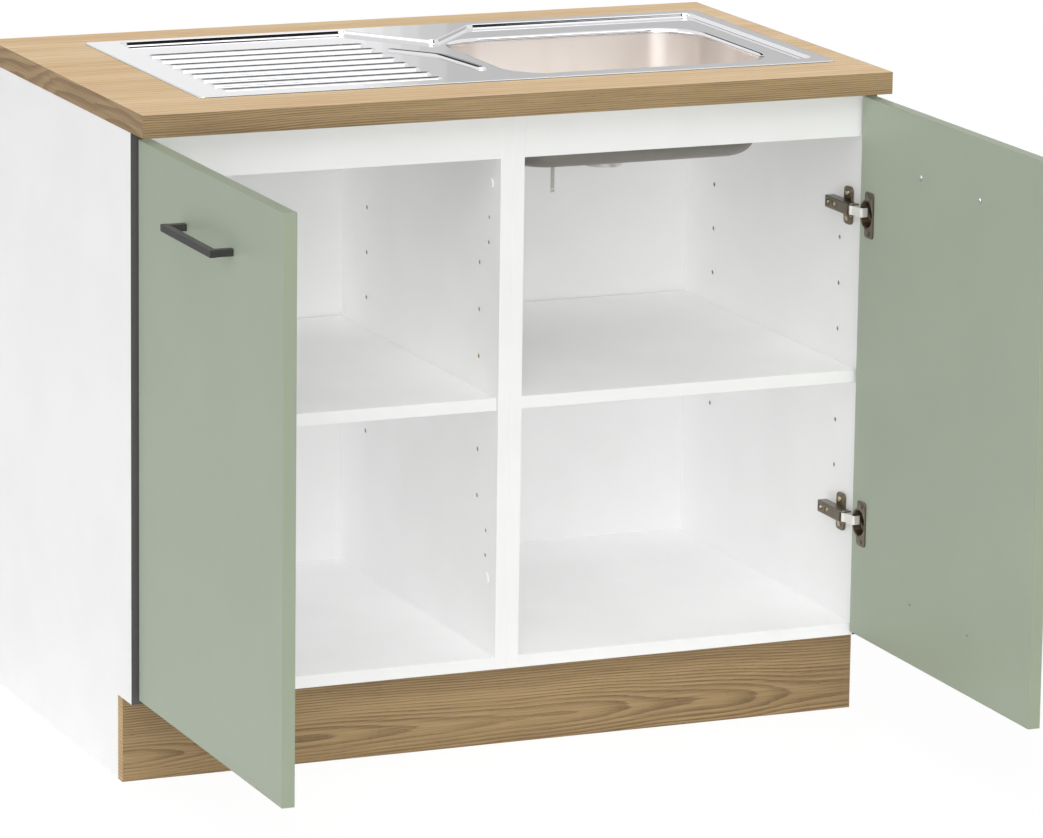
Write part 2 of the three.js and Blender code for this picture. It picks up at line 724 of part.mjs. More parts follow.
// The bowl's section, from its lip down to its floor. An outer skin passes its sheet as skin.
function bowlRings(skin) {
  const rings = [];
  const top = panFloorTop;
  const floor = unitHeight - bowlDepth + sheetThickness - skin;
  const fall = top - unitHeight + bowlDepth - sheetThickness;
  const lean = (z) => (-bowlDraft * (top - z)) / fall;
  for (let step = 4; step >= 0; step -= 1) {
    const angle = (step * Math.PI) / 8;
    const z = top - bowlLipRadius * (1 - Math.sin(angle));
    rings.push({ z, grow: lean(z) + skin + bowlLipRadius * (1 - Math.cos(angle)) });
  }
  const radius = bowlFloorRadius + skin;
  for (let step = 0; step <= 5; step += 1) {
    const angle = (step * Math.PI) / 10;
    const z = floor + radius * (1 - Math.sin(angle));
    rings.push({ z, grow: lean(z) + skin - radius * (1 - Math.cos(angle)) });
  }
  return rings;
}

// A raised rib with round ends on the pan, between two points.
function rib([x0, y0], [x1, y1], width) {
  const length = Math.hypot(x1 - x0, y1 - y0);
  const shape = new THREE.Shape();
  shape.absellipse(0, 0, width / 2, ridgeHeight, 0, Math.PI, false, 0);
  const back = new THREE.ExtrudeGeometry(shape, { depth: length, bevelEnabled: false, curveSegments: 4 })
    .applyMatrix4(new THREE.Matrix4().makeBasis(
      new THREE.Vector3(0, 1, 0), new THREE.Vector3(0, 0, 1), new THREE.Vector3(1, 0, 0)));
  const ends = [0, length].map((x) => new THREE.SphereGeometry(1, 8, 6)
    .scale(width / 2, ridgeHeight, width / 2).rotateX(Math.PI / 2).translate(x, 0, 0));
  const lower = block([-width, -width, -width], [length + width, width, -sheetThickness / 2]);
  return cut(join([back, ...ends]), [lower])
    .rotateZ(Math.atan2(y1 - y0, x1 - x0)).translate(x0, y0, panFloorTop);
}

const panLeft = rimLeft + panLeftInset;
const panRight = rimRight - panRightInset;
const panFront = rimFront + panFrontInset;
const panBack = rimBack - panBackInset;
const bowlLedge = rimBack - panBowlBackInset;
const ledgeTipY = rimBack - ledgeTipInset;
const bowlLeft = boardThickness + bowlSideClearance;
const bowlRight = rimRight - bowlRightInset;
const bowlFront = rimFront + bowlFrontInset;
const bowlBack = rimBack - bowlBackInset;
const bowlWidth = bowlRight - bowlLeft;
const bowlLength = bowlBack - bowlFront;
const bowlX = (bowlLeft + bowlRight) / 2;
const bowlY = (bowlFront + bowlBack) / 2;
const bowlFloorTop = unitHeight - bowlDepth + sheetThickness;

const panOutline = [
  [panLeft, panFront], [panRight, panFront], [panRight, bowlLedge],
  [bowlLeft + ledgeRightFromBowl, bowlLedge], [bowlLeft + ledgeTipFromBowl, ledgeTipY],
  [bowlLeft + ledgeLeftFromBowl, panBack], [panLeft, panBack],
];
const damPoints = [
  [bowlLeft - damTopFromBowlLeft, bowlBack - damTopFromBowlBack],
  [bowlLeft - damBendFromBowlLeft, bowlBack - damBendFromBowlBack],
  [bowlLeft - damFootFromBowlLeft, bowlFront + damFootFromBowlFront],
];

function sink() {
  const rim = plate(roundedRectangle(sinkWidth, sinkDepth, sinkCornerRadius), rimBottom, sheetThickness, 4)
    .translate(sinkCentreX, sinkCentreY, 0);
  const panSkin = plate(outline(offsetOutline(panOutline, sheetThickness)),
    panFloorTop - sheetThickness, panDrop + sheetThickness);
  const bowlSkin = tub(bowlWidth, bowlLength, bowlCornerRadius, bowlRings(sheetThickness))
    .translate(bowlX, bowlY, 0);
  const panSpace = plate(outline(panOutline), panFloorTop, 2 * panDrop);
  const bowlSpace = tub(bowlWidth, bowlLength, bowlCornerRadius, bowlRings(0)).translate(bowlX, bowlY, 0);
  const wasteHole = bar('z', [bowlX, bowlY, bowlFloorTop + overshoot],
    -sheetThickness - 2 * overshoot, wasteHoleDiameter, 32);
  const sheet = cut(join([rim, panSkin, bowlSkin]), [panSpace, bowlSpace, wasteHole]);
  const ribs = [];
  for (let i = 0; i < ridgeCount; i += 1) {
    const y = rimFront + ridgeFrontInset + i * ridgePitch;
    ribs.push(rib(
      [panLeft + ridgeLeftGap + ridgeWidth / 2, y], [bowlLeft + ridgeEndFromBowl, y], ridgeWidth));
  }
  ribs.push(join([
    rib(damPoints[0], damPoints[1], damWidth), rib(damPoints[1], damPoints[2], damWidth)]));
  return join([sheet, ...ribs]);
}
place('sink', sink(), materials.steel);

const sealBlank = plate(roundedRectangle(sinkWidth - 2 * sealInset, sinkDepth - 2 * sealInset,
  sinkCornerRadius), unitHeight, sealThickness, 4).translate(sinkCentreX, sinkCentreY, 0);
const sealSpace = plate(roundedRectangle(cutoutWidth, cutoutDepth, cutoutCornerRadius),
  unitHeight - overshoot, sealThickness + 2 * overshoot, 4).translate(sinkCentreX, sinkCentreY, 0);
place('sink_seal', cut(sealBlank, [sealSpace]), materials.rubber);

// ---- Waste fitting ---------------------------------------------------------------------------

const wasteTop = bowlFloorTop + wasteFlangeThickness;
const neckRadius = wasteNeckDiameter / 2;
const boreRadius = neckRadius - wasteNeckWall;
const sinkUnderside = unitHeight - bowlDepth;

const atWaste = (geometry) => geometry.translate(bowlX, bowlY, 0);

place('waste_flange', atWaste(turned([
  [boreRadius, sinkUnderside - wasteNeckLength], [neckRadius, sinkUnderside - wasteNeckLength],
  [neckRadius, bowlFloorTop + wasteSeatGap], [wasteFlangeDiameter / 2, bowlFloorTop + wasteSeatGap],
  [wasteFlangeDiameter / 2 - wasteFlangeBevel, wasteTop], [boreRadius, wasteTop],
])), materials.steel);

place('waste_seal', atWaste(turned([
  [neckRadius + wasteFit, sinkUnderside - wasteSealThickness],
  [wasteNutDiameter / 2, sinkUnderside - wasteSealThickness],
  [wasteNutDiameter / 2, sinkUnderside - wasteSeatGap], [neckRadius + wasteFit, sinkUnderside - wasteSeatGap],
])), materials.rubber);

const nutTop = sinkUnderside - wasteSealThickness - wasteSeatGap;
place('waste_nut', atWaste(turned([
  [neckRadius + wasteFit, nutTop - wasteNutHeight], [wasteNutDiameter / 2, nutTop - wasteNutHeight],
  [wasteNutDiameter / 2, nutTop], [neckRadius + wasteFit, nutTop],
])), materials.plastic);

const plugSeat = wasteTop + wasteSeatGap;
place('plug', atWaste(turned([
  [0, plugSeat - plugDepth], [plugDiameter / 2 - plugTaper, plugSeat - plugDepth],
  [plugDiameter / 2, plugSeat], [plugRimDiameter / 2, plugSeat],
  [plugRimDiameter / 2, plugSeat + plugRimThickness],
  [plugKnobNeckDiameter / 2, plugSeat + plugRimThickness + plugRise],
  [plugKnobDiameter / 2, plugSeat + plugKnobHeight], [0, plugSeat + plugKnobHeight],
])), materials.steel);

// ---- Sink clips and earth tag ----------------------------------------------------------------

// A bent strip that hangs from the rim beside the cut-out edge and grips under the worktop.
// Drawn at the front edge, about X = 0, with the cut-out edge at Y = 0 and the rim above.
function clip() {
  const foot = carcassTop - clipSeatGap;
  const half = clipWidth / 2;
  const hanger = block(
    [-half, clipEdgeGap, foot - clipDrop], [half, clipEdgeGap + clipSheet, rimBottom - clipSeatGap]);
  const sole = block([-half, -clipReach, foot - clipSheet], [half, clipEdgeGap + clipSheet, foot]);
  const rimFoot = block(
    [-half, clipEdgeGap, rimBottom - clipSeatGap - clipSheet],
    [half, clipEdgeGap + clipHead, rimBottom - clipSeatGap]);
  return join([hanger, sole, rimFoot]);
}

frontClipOffsets.forEach((offset, i) => place(
  `front_clip_${i + 1}`, clip().translate(sinkCentreX + offset, cutoutFront, 0), materials.zinc));
place('left_clip', clip().rotateZ(-Math.PI / 2)
  .translate(cutoutLeft, rimFront + sideClipFromRim, 0), materials.zinc);
place('right_clip', clip().rotateZ(Math.PI / 2)
  .translate(cutoutRight, rimFront + sideClipFromRim, 0), materials.zinc);

// a bent strip whose foot is spot welded under the bowl's floor
const tagX = bowlLeft + earthTagFromBowlLeft;
const tagY = bowlFront + earthTagFromBowlFront;
const tagTop = sinkUnderside - earthTagSeatGap;
place('earth_tag', join([
  block(
    [tagX - earthTagWidth / 2, tagY, tagTop - earthTagThickness],
    [tagX + earthTagWidth / 2, tagY + earthTagFoot, tagTop]),
  block(
    [tagX - earthTagWidth / 2, tagY, tagTop - earthTagLength],
    [tagX + earthTagWidth / 2, tagY + earthTagThickness, tagTop]),
]), materials.brightSteel);

export default unit;
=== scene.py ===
# %% [markdown]
# # A kitchen sink unit
# This is one metre of a fitted kitchen: two white carcasses side by side, a wood-decor worktop
# with a pressed steel sink, two sage green doors and a wood-decor plinth.
#
# ## The frame
# The solids of the unit come in first, in metres, and they are exact but plain. They could be
# shown as they are, or be thrown away and modelled again by eye. Neither is done here: each
# visible piece is made anew at the place that its solid gives, and the solid is hidden behind it,
# so that the doors and the plug still move with the right body.

# %% Load the frame
import json
import math

import bmesh
import bpy
from mathutils import Matrix, Vector
from mathutils.geometry import delaunay_2d_cdt


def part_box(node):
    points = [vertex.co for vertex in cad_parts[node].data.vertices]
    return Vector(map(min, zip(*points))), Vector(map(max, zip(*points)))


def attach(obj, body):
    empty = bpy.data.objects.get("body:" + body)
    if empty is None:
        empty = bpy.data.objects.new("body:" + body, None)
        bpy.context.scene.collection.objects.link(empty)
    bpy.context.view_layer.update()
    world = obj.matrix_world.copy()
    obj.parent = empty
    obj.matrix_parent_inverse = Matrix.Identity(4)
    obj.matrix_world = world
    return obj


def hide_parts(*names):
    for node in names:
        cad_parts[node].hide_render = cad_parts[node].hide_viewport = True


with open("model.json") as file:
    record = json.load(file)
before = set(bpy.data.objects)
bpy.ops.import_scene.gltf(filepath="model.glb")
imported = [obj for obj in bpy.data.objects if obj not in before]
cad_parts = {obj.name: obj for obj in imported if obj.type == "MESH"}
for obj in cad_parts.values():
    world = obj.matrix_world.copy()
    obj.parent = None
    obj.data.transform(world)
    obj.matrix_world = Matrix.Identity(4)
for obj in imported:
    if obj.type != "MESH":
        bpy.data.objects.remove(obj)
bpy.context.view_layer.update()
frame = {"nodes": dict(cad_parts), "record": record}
body_of = {node: body for body, members in frame["record"]["behaviour"]["bodies"].items()
           for node in members}

# %% [markdown]
# ## A small language for materials
# A material is a graph of nodes. Wiring it by hand takes four lines for one sum, and the sum is
# then hard to read. So one class stands for a value in the graph, and an expression such as
# 1 - mask adds the Math node by itself. Every other node comes from the method node, which takes
# the node's type, its settings and what goes into its sockets.

# %% Values and finishes
class Signal:
    """A value in a graph: the output of one of its nodes."""

    def __init__(self, graph, socket):
        self.graph, self.socket = graph, socket

    def maths(self, operation, first, second):
        return self.graph.node("Math", {"operation": operation}, {0: first, 1: second})

    def __add__(self, other):
        return self.maths("ADD", self, other)

    def __radd__(self, other):
        return self.maths("ADD", other, self)

    def __sub__(self, other):
        return self.maths("SUBTRACT", self, other)

    def __rsub__(self, other):
        return self.maths("SUBTRACT", other, self)

    def __mul__(self, other):
        return self.maths("MULTIPLY", self, other)

    def __rmul__(self, other):
        return self.maths("MULTIPLY", other, self)

    def __truediv__(self, other):
        return self.maths("DIVIDE", self, other)


def socket_of(sockets, key):
    """A socket by its number, or the first one in use by its name."""
    if isinstance(key, int):
        return sockets[key]
    return next(socket for socket in sockets if socket.name == key and socket.enabled)


class Graph:
    """A tree of nodes, of a material or of the world."""

    def __init__(self, tree):
        self.tree = tree

    def feed(self, sockets, key, value):
        socket = socket_of(sockets, key)
        if isinstance(value, Signal):
            self.tree.links.new(value.socket, socket)
        else:
            socket.default_value = value

    def node(self, kind, settings=None, sockets=None, output=0):
        made = self.tree.nodes.new("ShaderNode" + kind)
        for key, value in (settings or {}).items():
            setattr(made, key, value)
        for key, value in (sockets or {}).items():
            self.feed(made.inputs, key, value)
        return Signal(self, socket_of(made.outputs, output))

    def show(self, surface):
        """Sends this to the end of the tree, in place of what went there."""
        end = next(node for node in self.tree.nodes if node.name.endswith(" Output"))
        self.feed(end.inputs, "Surface", surface)


class Finish(Graph):
    """A material on the Principled shader, with the helpers that this unit's finishes share."""

    def __init__(self, name, **values):
        self.material = bpy.data.materials.new(name)
        self.material.use_nodes = True
        super().__init__(self.material.node_tree)
        self.shader = self.tree.nodes["Principled BSDF"]
        for key, value in values.items():
            self.set(key, value)

    def set(self, key, value):
        self.feed(self.shader.inputs, key, value)

    def place(self):
        """Where a point is on the object, in metres."""
        return self.node("TexCoord", output="Object")

    def along(self, place, axis):
        """One of a place's three numbers: 0 for x, 1 for y, 2 for z."""
        return self.node("SeparateXYZ", {}, {0: place}, axis)

    def stretched(self, place, scales):
        return self.node("VectorMath", {"operation": "MULTIPLY"}, {0: place, 1: scales})

    def noise(self, place, scale, detail=2.0, roughness=0.5):
        """Soft noise, this many cells to the metre. Three numbers draw it out along the axes."""
        if isinstance(scale, tuple):
            place, scale = self.stretched(place, scale), 1.0
        return self.node("TexNoise", {}, {"Vector": place, "Scale": scale, "Detail": detail,
                                          "Roughness": roughness})

    def between(self, value, low, high):
        """0 where the value is low, 1 where it is high, with a soft passage."""
        return self.node("MapRange", {"interpolation_type": "SMOOTHSTEP"},
                         {"Value": value, "From Min": low, "From Max": high})

    def blend(self, factor, first, second):
        """The first colour where the factor is 0, the second where it is 1."""
        return self.node("Mix", {"data_type": "RGBA"}, {"Factor": factor, "A": first, "B": second},
                         output="Result")

    def relief(self, height, depth):
        """Turns a height of 0 to 1 into a bump as deep as this, in metres."""
        self.set("Normal", self.node("Bump", {}, {"Distance": depth, "Height": height}))


def paint(code, light=1.0):
    """A colour as a picture editor writes it, turned into the light that it reflects."""
    parts = [int(code[i:i + 2], 16) / 255 for i in (1, 3, 5)]
    return (*(light * (c / 12.92 if c < 0.04045 else ((c + 0.055) / 1.055) ** 2.4)
              for c in parts), 1.0)


print("sage green reflects", [round(v, 2) for v in paint("#a4ae9c")[:3]])

# %% [markdown]
# ## Melamine boards
# Carcasses and doors are chipboard under a melamine film. The film is smooth to the eye, but it
# is pressed against a plate with a faint pebble grain, which breaks its reflections up. A plain
# white would look like plastic, so a fine noise goes into the bump and into the roughness, and a
# slow one shifts the tone by a per cent or two. A hardboard back has a painted front and a raw
# brown rear, which the direction of the surface tells apart.

# %% White, green and dark films
def melamine(name, colour, roughness, grain=1500.0, rear=None):
    film = Finish(name)
    place = film.place()
    pebble = film.noise(place, grain)
    cloud = film.noise(place, 7.0)
    tone = film.blend(film.between(cloud, 0.3, 0.7), paint(colour, 0.97), paint(colour))
    film.set("Base Color", rear(film, tone) if rear else tone)
    film.set("Roughness", roughness + 0.12 * (pebble - 0.5))
    film.relief(pebble, 0.00002)
    return film


def raw_rear(board, painted):
    """Raw brown fibres where the board faces backwards, and its paint elsewhere."""
    fibres = board.noise(board.place(), (260, 260, 260), 4.0, 0.7)
    raw = board.blend(fibres, paint("#8a6a48"), paint("#b4926a"))
    facing = board.along(board.node("NewGeometry", output="Normal"), 1)
    return board.blend(board.between(facing, 0.4, 0.6), painted, raw)


white_film = melamine("white_melamine", "#f7f7f7", 0.42)
green_film = melamine("sage_melamine", "#a4ae9c", 0.46)
green_band = melamine("sage_edge_band", "#9da791", 0.4, 900.0)
dark_band = melamine("dark_edge_band", "#4f4f4e", 0.5, 900.0)
back_film = melamine("white_hardboard", "#f3f3f3", 0.55, rear=raw_rear)
print("films:", white_film.material.name, green_film.material.name, dark_band.material.name)

# %% [markdown]
# ## Oak decor
# The worktop and the plinth carry a printed oak. Oak shows three things at three sizes: the
# growth rings, which are straight streaks on a quarter-cut face and long arches on a flat-cut
# one, the fibres, and the pores, which are short dark dashes. An image would show them best, but
# a picture repeats and has one scale. Here the rings are the distance from a wandering heart
# line, as in a real log, so that the arches come out by themselves where the cut runs flat.

# %% One oak for every board
def oak(name, light, dark, heart, spacing, rings, streaks=0.55, lengthwise=True):
    """heart: where the log's middle lies below the face, as height, depth, the rise of that
    depth per metre along the grain, and how far it wanders. All in metres."""
    wood = Finish(name)
    place = wood.place()
    if not lengthwise:
        place = wood.node("VectorRotate", {"rotation_type": "Z_AXIS"},
                          {"Vector": place, "Angle": math.pi / 2})
    x, y, z = (wood.along(place, axis) for axis in range(3))
    height, depth, rise, wander = heart
    sway = wood.noise(place, (2.1, 3.0, 3.0), 1.0)
    swell = wood.noise(place, (3.4, 2.0, 2.0), 1.0)
    ripple = wood.noise(place, (12.0, 190.0, 190.0), 3.0)
    up = z - height + wander * (sway - 0.5)
    back = depth + rise * x + 0.4 * y + wander * (swell - 0.5)
    reach = wood.node("Math", {"operation": "SQRT"}, {0: up * up + back * back})
    year = reach / spacing + 0.6 * ripple
    turn = wood.node("Math", {"operation": "FRACT"}, {0: year})
    late = wood.between(turn, 0.2, 0.9) * (1 - wood.between(turn, 0.9, 1.0))
    strength = wood.noise(place, (3.0, 40.0, 40.0))
    fibre = wood.noise(place, (9.0, 640.0, 640.0), 4.0, 0.65)
    pore = wood.noise(place, (85.0, 1500.0, 1500.0), 1.0)
    pores = wood.between(pore, 0.6, 0.7) * (0.35 + late)
    tone = wood.noise(place, (1.1, 22.0, 22.0), 3.0)
    shade = (0.5 + rings * (late - 0.4) * (0.1 + 1.5 * strength) + streaks * (fibre - 0.5)
             + 0.95 * (tone - 0.5) + 0.25 * pores)
    wood.set("Base Color", wood.blend(wood.between(shade, 0.0, 1.0), paint(light), paint(dark)))
    wood.set("Roughness", 0.5 + 0.12 * fibre)
    wood.relief(0.6 * fibre + (1 - pores), 0.00004)
    return wood


EDGE_HEART = (0.802, 0.02, 0.02, 0.02)
worktop_top = oak("worktop_oak_top", "#f4d9b2", "#d0aa78",
                  (0.2, 1.2, 0.015, 0.03), 0.005, 0.24, 1.5)
worktop_edge = oak("worktop_oak_edge", "#b69b71", "#725b3c", EDGE_HEART, 0.0025, 0.45, 1.0)
worktop_end = oak("worktop_oak_end", "#b89d78", "#836a4b", EDGE_HEART, 0.0025, 0.4, 1.0,
                  lengthwise=False)
plinth_wood = oak("plinth_oak", "#b1966b", "#6f5739",
                  (0.03, 0.03, 0.02, 0.022), 0.0031, 0.36, 0.9)
plinth_end = oak("plinth_oak_end", "#d2b285", "#a3845a",
                 (0.05, 0.2, 0.02, 0.05), 0.005, 0.4, lengthwise=False)
print("oak:", worktop_top.material.name, plinth_wood.material.name)

# %% [markdown]
# ## Raw chipboard
# The sink's cut-out and the worktop's rear edge are sawn and bare: pressed chips, light and dark,
# with small gaps. Cells of a Voronoi texture, each with its own tone, are close to that.

# %% Chipboard and the worktop's backing paper
def chipboard():
    raw = Finish("raw_chipboard", Roughness=0.85)
    place = raw.place()
    chips = raw.node("TexVoronoi", {"distance": "MANHATTAN"},
                     {"Vector": raw.stretched(place, (240, 240, 700)), "Scale": 1.0}, "Color")
    tone = raw.node("RGBToBW", {}, {0: chips})
    dust = raw.noise(place, 1200, 3.0)
    raw.set("Base Color", raw.blend(tone * 0.7 + dust * 0.3, paint("#7d6243"), paint("#cfb48b")))
    raw.relief(tone + 0.5 * dust, 0.0003)
    return raw


raw_board = chipboard()
backing = melamine("backing_paper", "#d8d3c8", 0.7, 700.0)
print("bare faces:", raw_board.material.name, backing.material.name)

# %% [markdown]
# ## Metals, rubber and plastic
# The sink is one sheet with two finishes: its rim and drainer are polished, its bowl is satin.
# One material does both, because the height in the unit tells where the bowl starts. Brushing is
# a noise drawn out along one direction, in the bump. Small fittings are plated, and a plated
# surface is never even, so a slow noise moves its roughness.

# %% Steel and plated parts
def sink_steel():
    steel = Finish("sink_steel", Metallic=1.0)
    place = steel.place()
    side, height = (steel.along(place, axis) for axis in (0, 2))
    satin = 1 - steel.between(height, 0.838, 0.8462)
    scratches = steel.noise(place, (60, 2600, 900), 3.0, 0.65)
    rubs = steel.noise(place, 14.0, 3.0)
    grit = steel.noise(place, 2200.0, 1.0)
    # Painted reflection: on the bowl's walls, soft vertical bands of lighter and darker colour
    # stand in for the streaks that brushed steel reflects.
    reflection_band_noise = steel.noise(place, (9, 9, 0.8))
    walls = steel.between(height, 0.73, 0.75)
    streaks = 0.5 + walls * (steel.between(reflection_band_noise, 0.3, 0.62) - 0.5)
    bowl = steel.blend(streaks, paint("#dccfc7"), paint("#fffcf9"))
    # Painted shade: the bowl's colour darkens towards its right wall, standing in for the dark
    # that this part of the bowl reflects.
    bowl = steel.blend(0.45 * steel.between(side, 0.33, 0.4), bowl, paint("#a3958c"))
    steel.set("Base Color", steel.blend(satin, paint("#e6e6e8"), bowl))
    steel.set("Roughness", 0.03 + 0.03 * rubs + satin * (0.25 + 0.1 * grit))
    steel.relief(0.2 * scratches + satin * (0.8 * grit + 0.5 * scratches), 0.000006)
    return steel


def plated(name, colour, roughness, metallic=1.0):
    metal = Finish(name, Metallic=metallic)
    place = metal.place()
    cloud = metal.noise(place, 60.0, 3.0)
    fine = metal.noise(place, 1800.0)
    metal.set("Base Color", metal.blend(cloud, paint(colour, 0.86), paint(colour)))
    metal.set("Roughness", roughness + 0.1 * cloud + 0.08 * fine)
    metal.relief(fine, 0.000004)
    return metal


def moulded(name, colour, roughness, depth=0.00003):
    stuff = Finish(name)
    place = stuff.place()
    fine = stuff.noise(place, 1300.0)
    cloud = stuff.noise(place, 30.0)
    stuff.set("Base Color", stuff.blend(cloud, paint(colour, 0.9), paint(colour)))
    stuff.set("Roughness", roughness + 0.1 * (fine - 0.5))
    stuff.relief(fine, depth)
    return stuff


steel = sink_steel()
raw_steel = plated("sink_steel_underside", "#9a9691", 0.34)
nickel = plated("hinge_nickel", "#7f7566", 0.2)
# Painted highlight: the link is near white and only partly metal, so it stays bright as a
# highlight would.
link_polish_and_painted_highlight = plated("polished_link_painted_highlight", "#fbf8f3", 0.22, metallic=0.35)
bright_nickel = plated("bright_nickel", "#e2ddd6", 0.14)
gilt_nickel = plated("warm_nickel", "#cdbb9a", 0.18)
zinc = plated("zinc_plate", "#cfd0d0", 0.26)
anthracite = moulded("anthracite_coat", "#333332", 0.42, 0.00004)
rubber = moulded("black_rubber", "#232323", 0.75)
plastic = moulded("white_plastic", "#ececea", 0.4)
print("metals:", steel.material.name, nickel.material.name, zinc.material.name)

# %% [markdown]
# ## Tools for making pieces
# All sizes below are in millimetres, as a kitchen maker writes them, and every mesh is scaled
# once when it is made. A piece could start from one of Blender's ready shapes and be pushed
# about, but a drawn outline or a lathe profile says its real sizes, so those two make the pieces.

# %% Meshes from outlines and profiles
MM = 0.001


def added(name, data):
    """An object with this data, in the scene."""
    thing = bpy.data.objects.new(name, data)
    bpy.context.scene.collection.objects.link(thing)
    return thing


def piece_from(name, points, faces):
    mesh = bpy.data.meshes.new(name)
    mesh.from_pydata([Vector(p) * MM for p in points], [], faces)
    mesh.validate()
    return added(name, mesh)


def extruded(name, outline, start, end, axis="z"):
    """A solid with this outline, counter-clockwise when seen from the axis's far end."""
    turn = {"z": lambda u, v, w: (u, v, w), "x": lambda u, v, w: (w, u, v)}[axis]
    count = len(outline)
    points = [turn(u, v, w) for w in (start, end) for u, v in outline]
    faces = [list(range(count))[::-1], [count + i for i in range(count)]]
    faces += [[i, (i + 1) % count, count + (i + 1) % count, count + i] for i in range(count)]
    return piece_from(name, points, faces)


def block(name, low, high):
    (x0, y0, z0), (x1, y1, z1) = low, high
    return extruded(name, [(x0, y0), (x1, y0), (x1, y1), (x0, y1)], z0, z1)


def tipped(axis):
    """The turn that tips what stands upright towards this axis."""
    return Vector((0, 0, 1)).rotation_difference(Vector(axis)).to_matrix()


def turned(name, profile, sides=48, at=(0, 0, 0), axis=(0, 0, 1)):
    """A lathe piece. The profile is a list of (radius, height), closed by itself."""
    points, faces, rings = [], [], []
    for radius, height in profile:
        if radius == 0:
            rings.append([len(points)] * sides)
            points.append((0, 0, height))
        else:
            rings.append(list(range(len(points), len(points) + sides)))
            points += [(radius * math.cos(2 * math.pi * i / sides),
                        radius * math.sin(2 * math.pi * i / sides), height) for i in range(sides)]
    closed = rings if profile[0][0] == 0 and profile[-1][0] == 0 else rings + rings[:1]
    for lower, upper in zip(closed, closed[1:]):
        for i in range(sides):
            j = (i + 1) % sides
            face = list(dict.fromkeys([lower[i], lower[j], upper[j], upper[i]]))
            if len(face) > 2:
                faces.append(face)
    turn = tipped(axis)
    return piece_from(name, [turn @ Vector(p) + Vector(at) for p in points], faces)


def rod(name, radius, start, end, sides, at, axis=(0, 0, 1)):
    """A round bar: a shank, or the cutter for a bore."""
    return turned(name, [(0, start), (radius, start), (radius, end), (0, end)], sides, at, axis)


print("outlines and profiles are drawn in units of", MM, "m")

# %% [markdown]
# ### Easing, boring and putting in place
# Sharp edges give a model away: real board has a radius that catches the light, so each piece has
# its edges eased by a Bevel modifier, and a Weighted Normal modifier keeps the broad faces flat in
# the shading. A hole is a Boolean cut. The cutter is a lathe piece with a flared mouth, so the
# hole comes out with its own small chamfer. The cutter is deleted afterwards, because a cutter
# that stays in the scene would count as part of the unit.

# %% Finishing steps
SMOOTH_TO = math.radians(38)


def settled(piece):
    """The piece with its modifiers worked into its mesh."""
    graph = bpy.context.evaluated_depsgraph_get()
    mesh = bpy.data.meshes.new_from_object(piece.evaluated_get(graph))
    old = piece.data
    piece.modifiers.clear()
    piece.data = mesh
    bpy.data.meshes.remove(old)
    return piece


def eased(piece, radius, segments=2, angle=40):
    bevel = piece.modifiers.new("eased edges", "BEVEL")
    bevel.width, bevel.segments = radius * MM, segments
    bevel.limit_method, bevel.angle_limit = "ANGLE", math.radians(angle)
    return settled(piece)


def combined(piece, other, how="DIFFERENCE"):
    """One piece cut by another, or joined with it. The other one is used up."""
    cut = piece.modifiers.new("cut", "BOOLEAN")
    cut.operation, cut.solver, cut.object = how, "EXACT", other
    settled(piece)
    bpy.data.meshes.remove(other.data)
    return piece


def merged(name, pieces):
    """Several pieces that don't touch, as one."""
    points, faces = [], []
    for piece in pieces:
        start = len(points)
        points += [v.co / MM for v in piece.data.vertices]
        faces += [[start + i for i in face.vertices] for face in piece.data.polygons]
        bpy.data.meshes.remove(piece.data)
    return piece_from(name, points, faces)


def bored(piece, holes, flare=0.4, sides=24):
    """holes: (mouth, direction into the board, diameter, depth)."""
    cutters = []
    for mouth, into, diameter, depth in holes:
        r = diameter / 2
        profile = [(0, -1), (r + flare, -1), (r + flare, 0), (r, flare), (r, depth), (0, depth)]
        cutters.append(turned("cutter", profile, sides, mouth, into))
    return combined(piece, merged("cutters", cutters))


def raw_inside(piece, holes):
    """Lets the holes of a finished board show its chips."""
    piece.data.materials.append(raw_board.material)
    for face in piece.data.polygons:
        for mouth, into, diameter, depth in holes:
            away = face.center / MM - Vector(mouth)
            deep = away.dot(Vector(into))
            aside = (away - deep * Vector(into)).length
            if 0.3 < deep < depth + 0.5 and aside < diameter / 2 + 0.4:
                face.material_index = 1


def cleaned(piece):
    """The piece without the faces that a cut or an eased edge has left with no area."""
    shape = bmesh.new()
    shape.from_mesh(piece.data)
    bmesh.ops.dissolve_degenerate(shape, edges=shape.edges, dist=0.000002)
    shape.to_mesh(piece.data)
    shape.free()
    return piece


def in_place(piece, node):
    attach(piece, body_of[node])
    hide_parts(node)
    return piece


def finished(piece, node, finish):
    """Gives a piece its finish and the place of the solid that it stands for."""
    cleaned(piece)
    piece.data.materials.clear()
    piece.data.materials.append(finish.material)
    piece.data.polygons.foreach_set("use_smooth", [True] * len(piece.data.polygons))
    piece.data.set_sharp_from_angle(angle=SMOOTH_TO)
    flat = piece.modifiers.new("even faces", "WEIGHTED_NORMAL")
    flat.keep_sharp = True
    return in_place(piece, node)


def panel(name, low, high, ease, node, finish):
    """A flat board or strip between two corners."""
    return finished(eased(block(name, low, high), ease), node, finish)


def corners(node):
    """A solid's lowest and highest corner, in millimetres."""
    return [tuple(v / MM for v in corner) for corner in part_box(node)]


def copied(node, name):
    """A solid's mesh as a new piece, with its split corners joined again."""
    shape = bmesh.new()
    shape.from_mesh(frame["nodes"][node].data)
    bmesh.ops.remove_doubles(shape, verts=shape.verts, dist=0.00001)
    bmesh.ops.dissolve_limit(shape, angle_limit=math.radians(1), verts=shape.verts,
                             edges=shape.edges)
    shape.verts.index_update()
    piece = piece_from(name, [v.co / MM for v in shape.verts],
                       [[v.index for v in face.verts] for face in shape.faces])
    shape.free()
    return piece


print("a shelf reaches from", [[round(v, 1) for v in corner] for corner in corners("left_shelf")])

# %% [markdown]
# ### Round corners and bent strips
# Much of the unit is bent from strip or has round corners in one plane. One helper rounds the
# corners of a line, another runs round a line on both sides, and with an offset the two give the
# section of a bent strip. A screw head is a turned pan with a cross cut out of it.

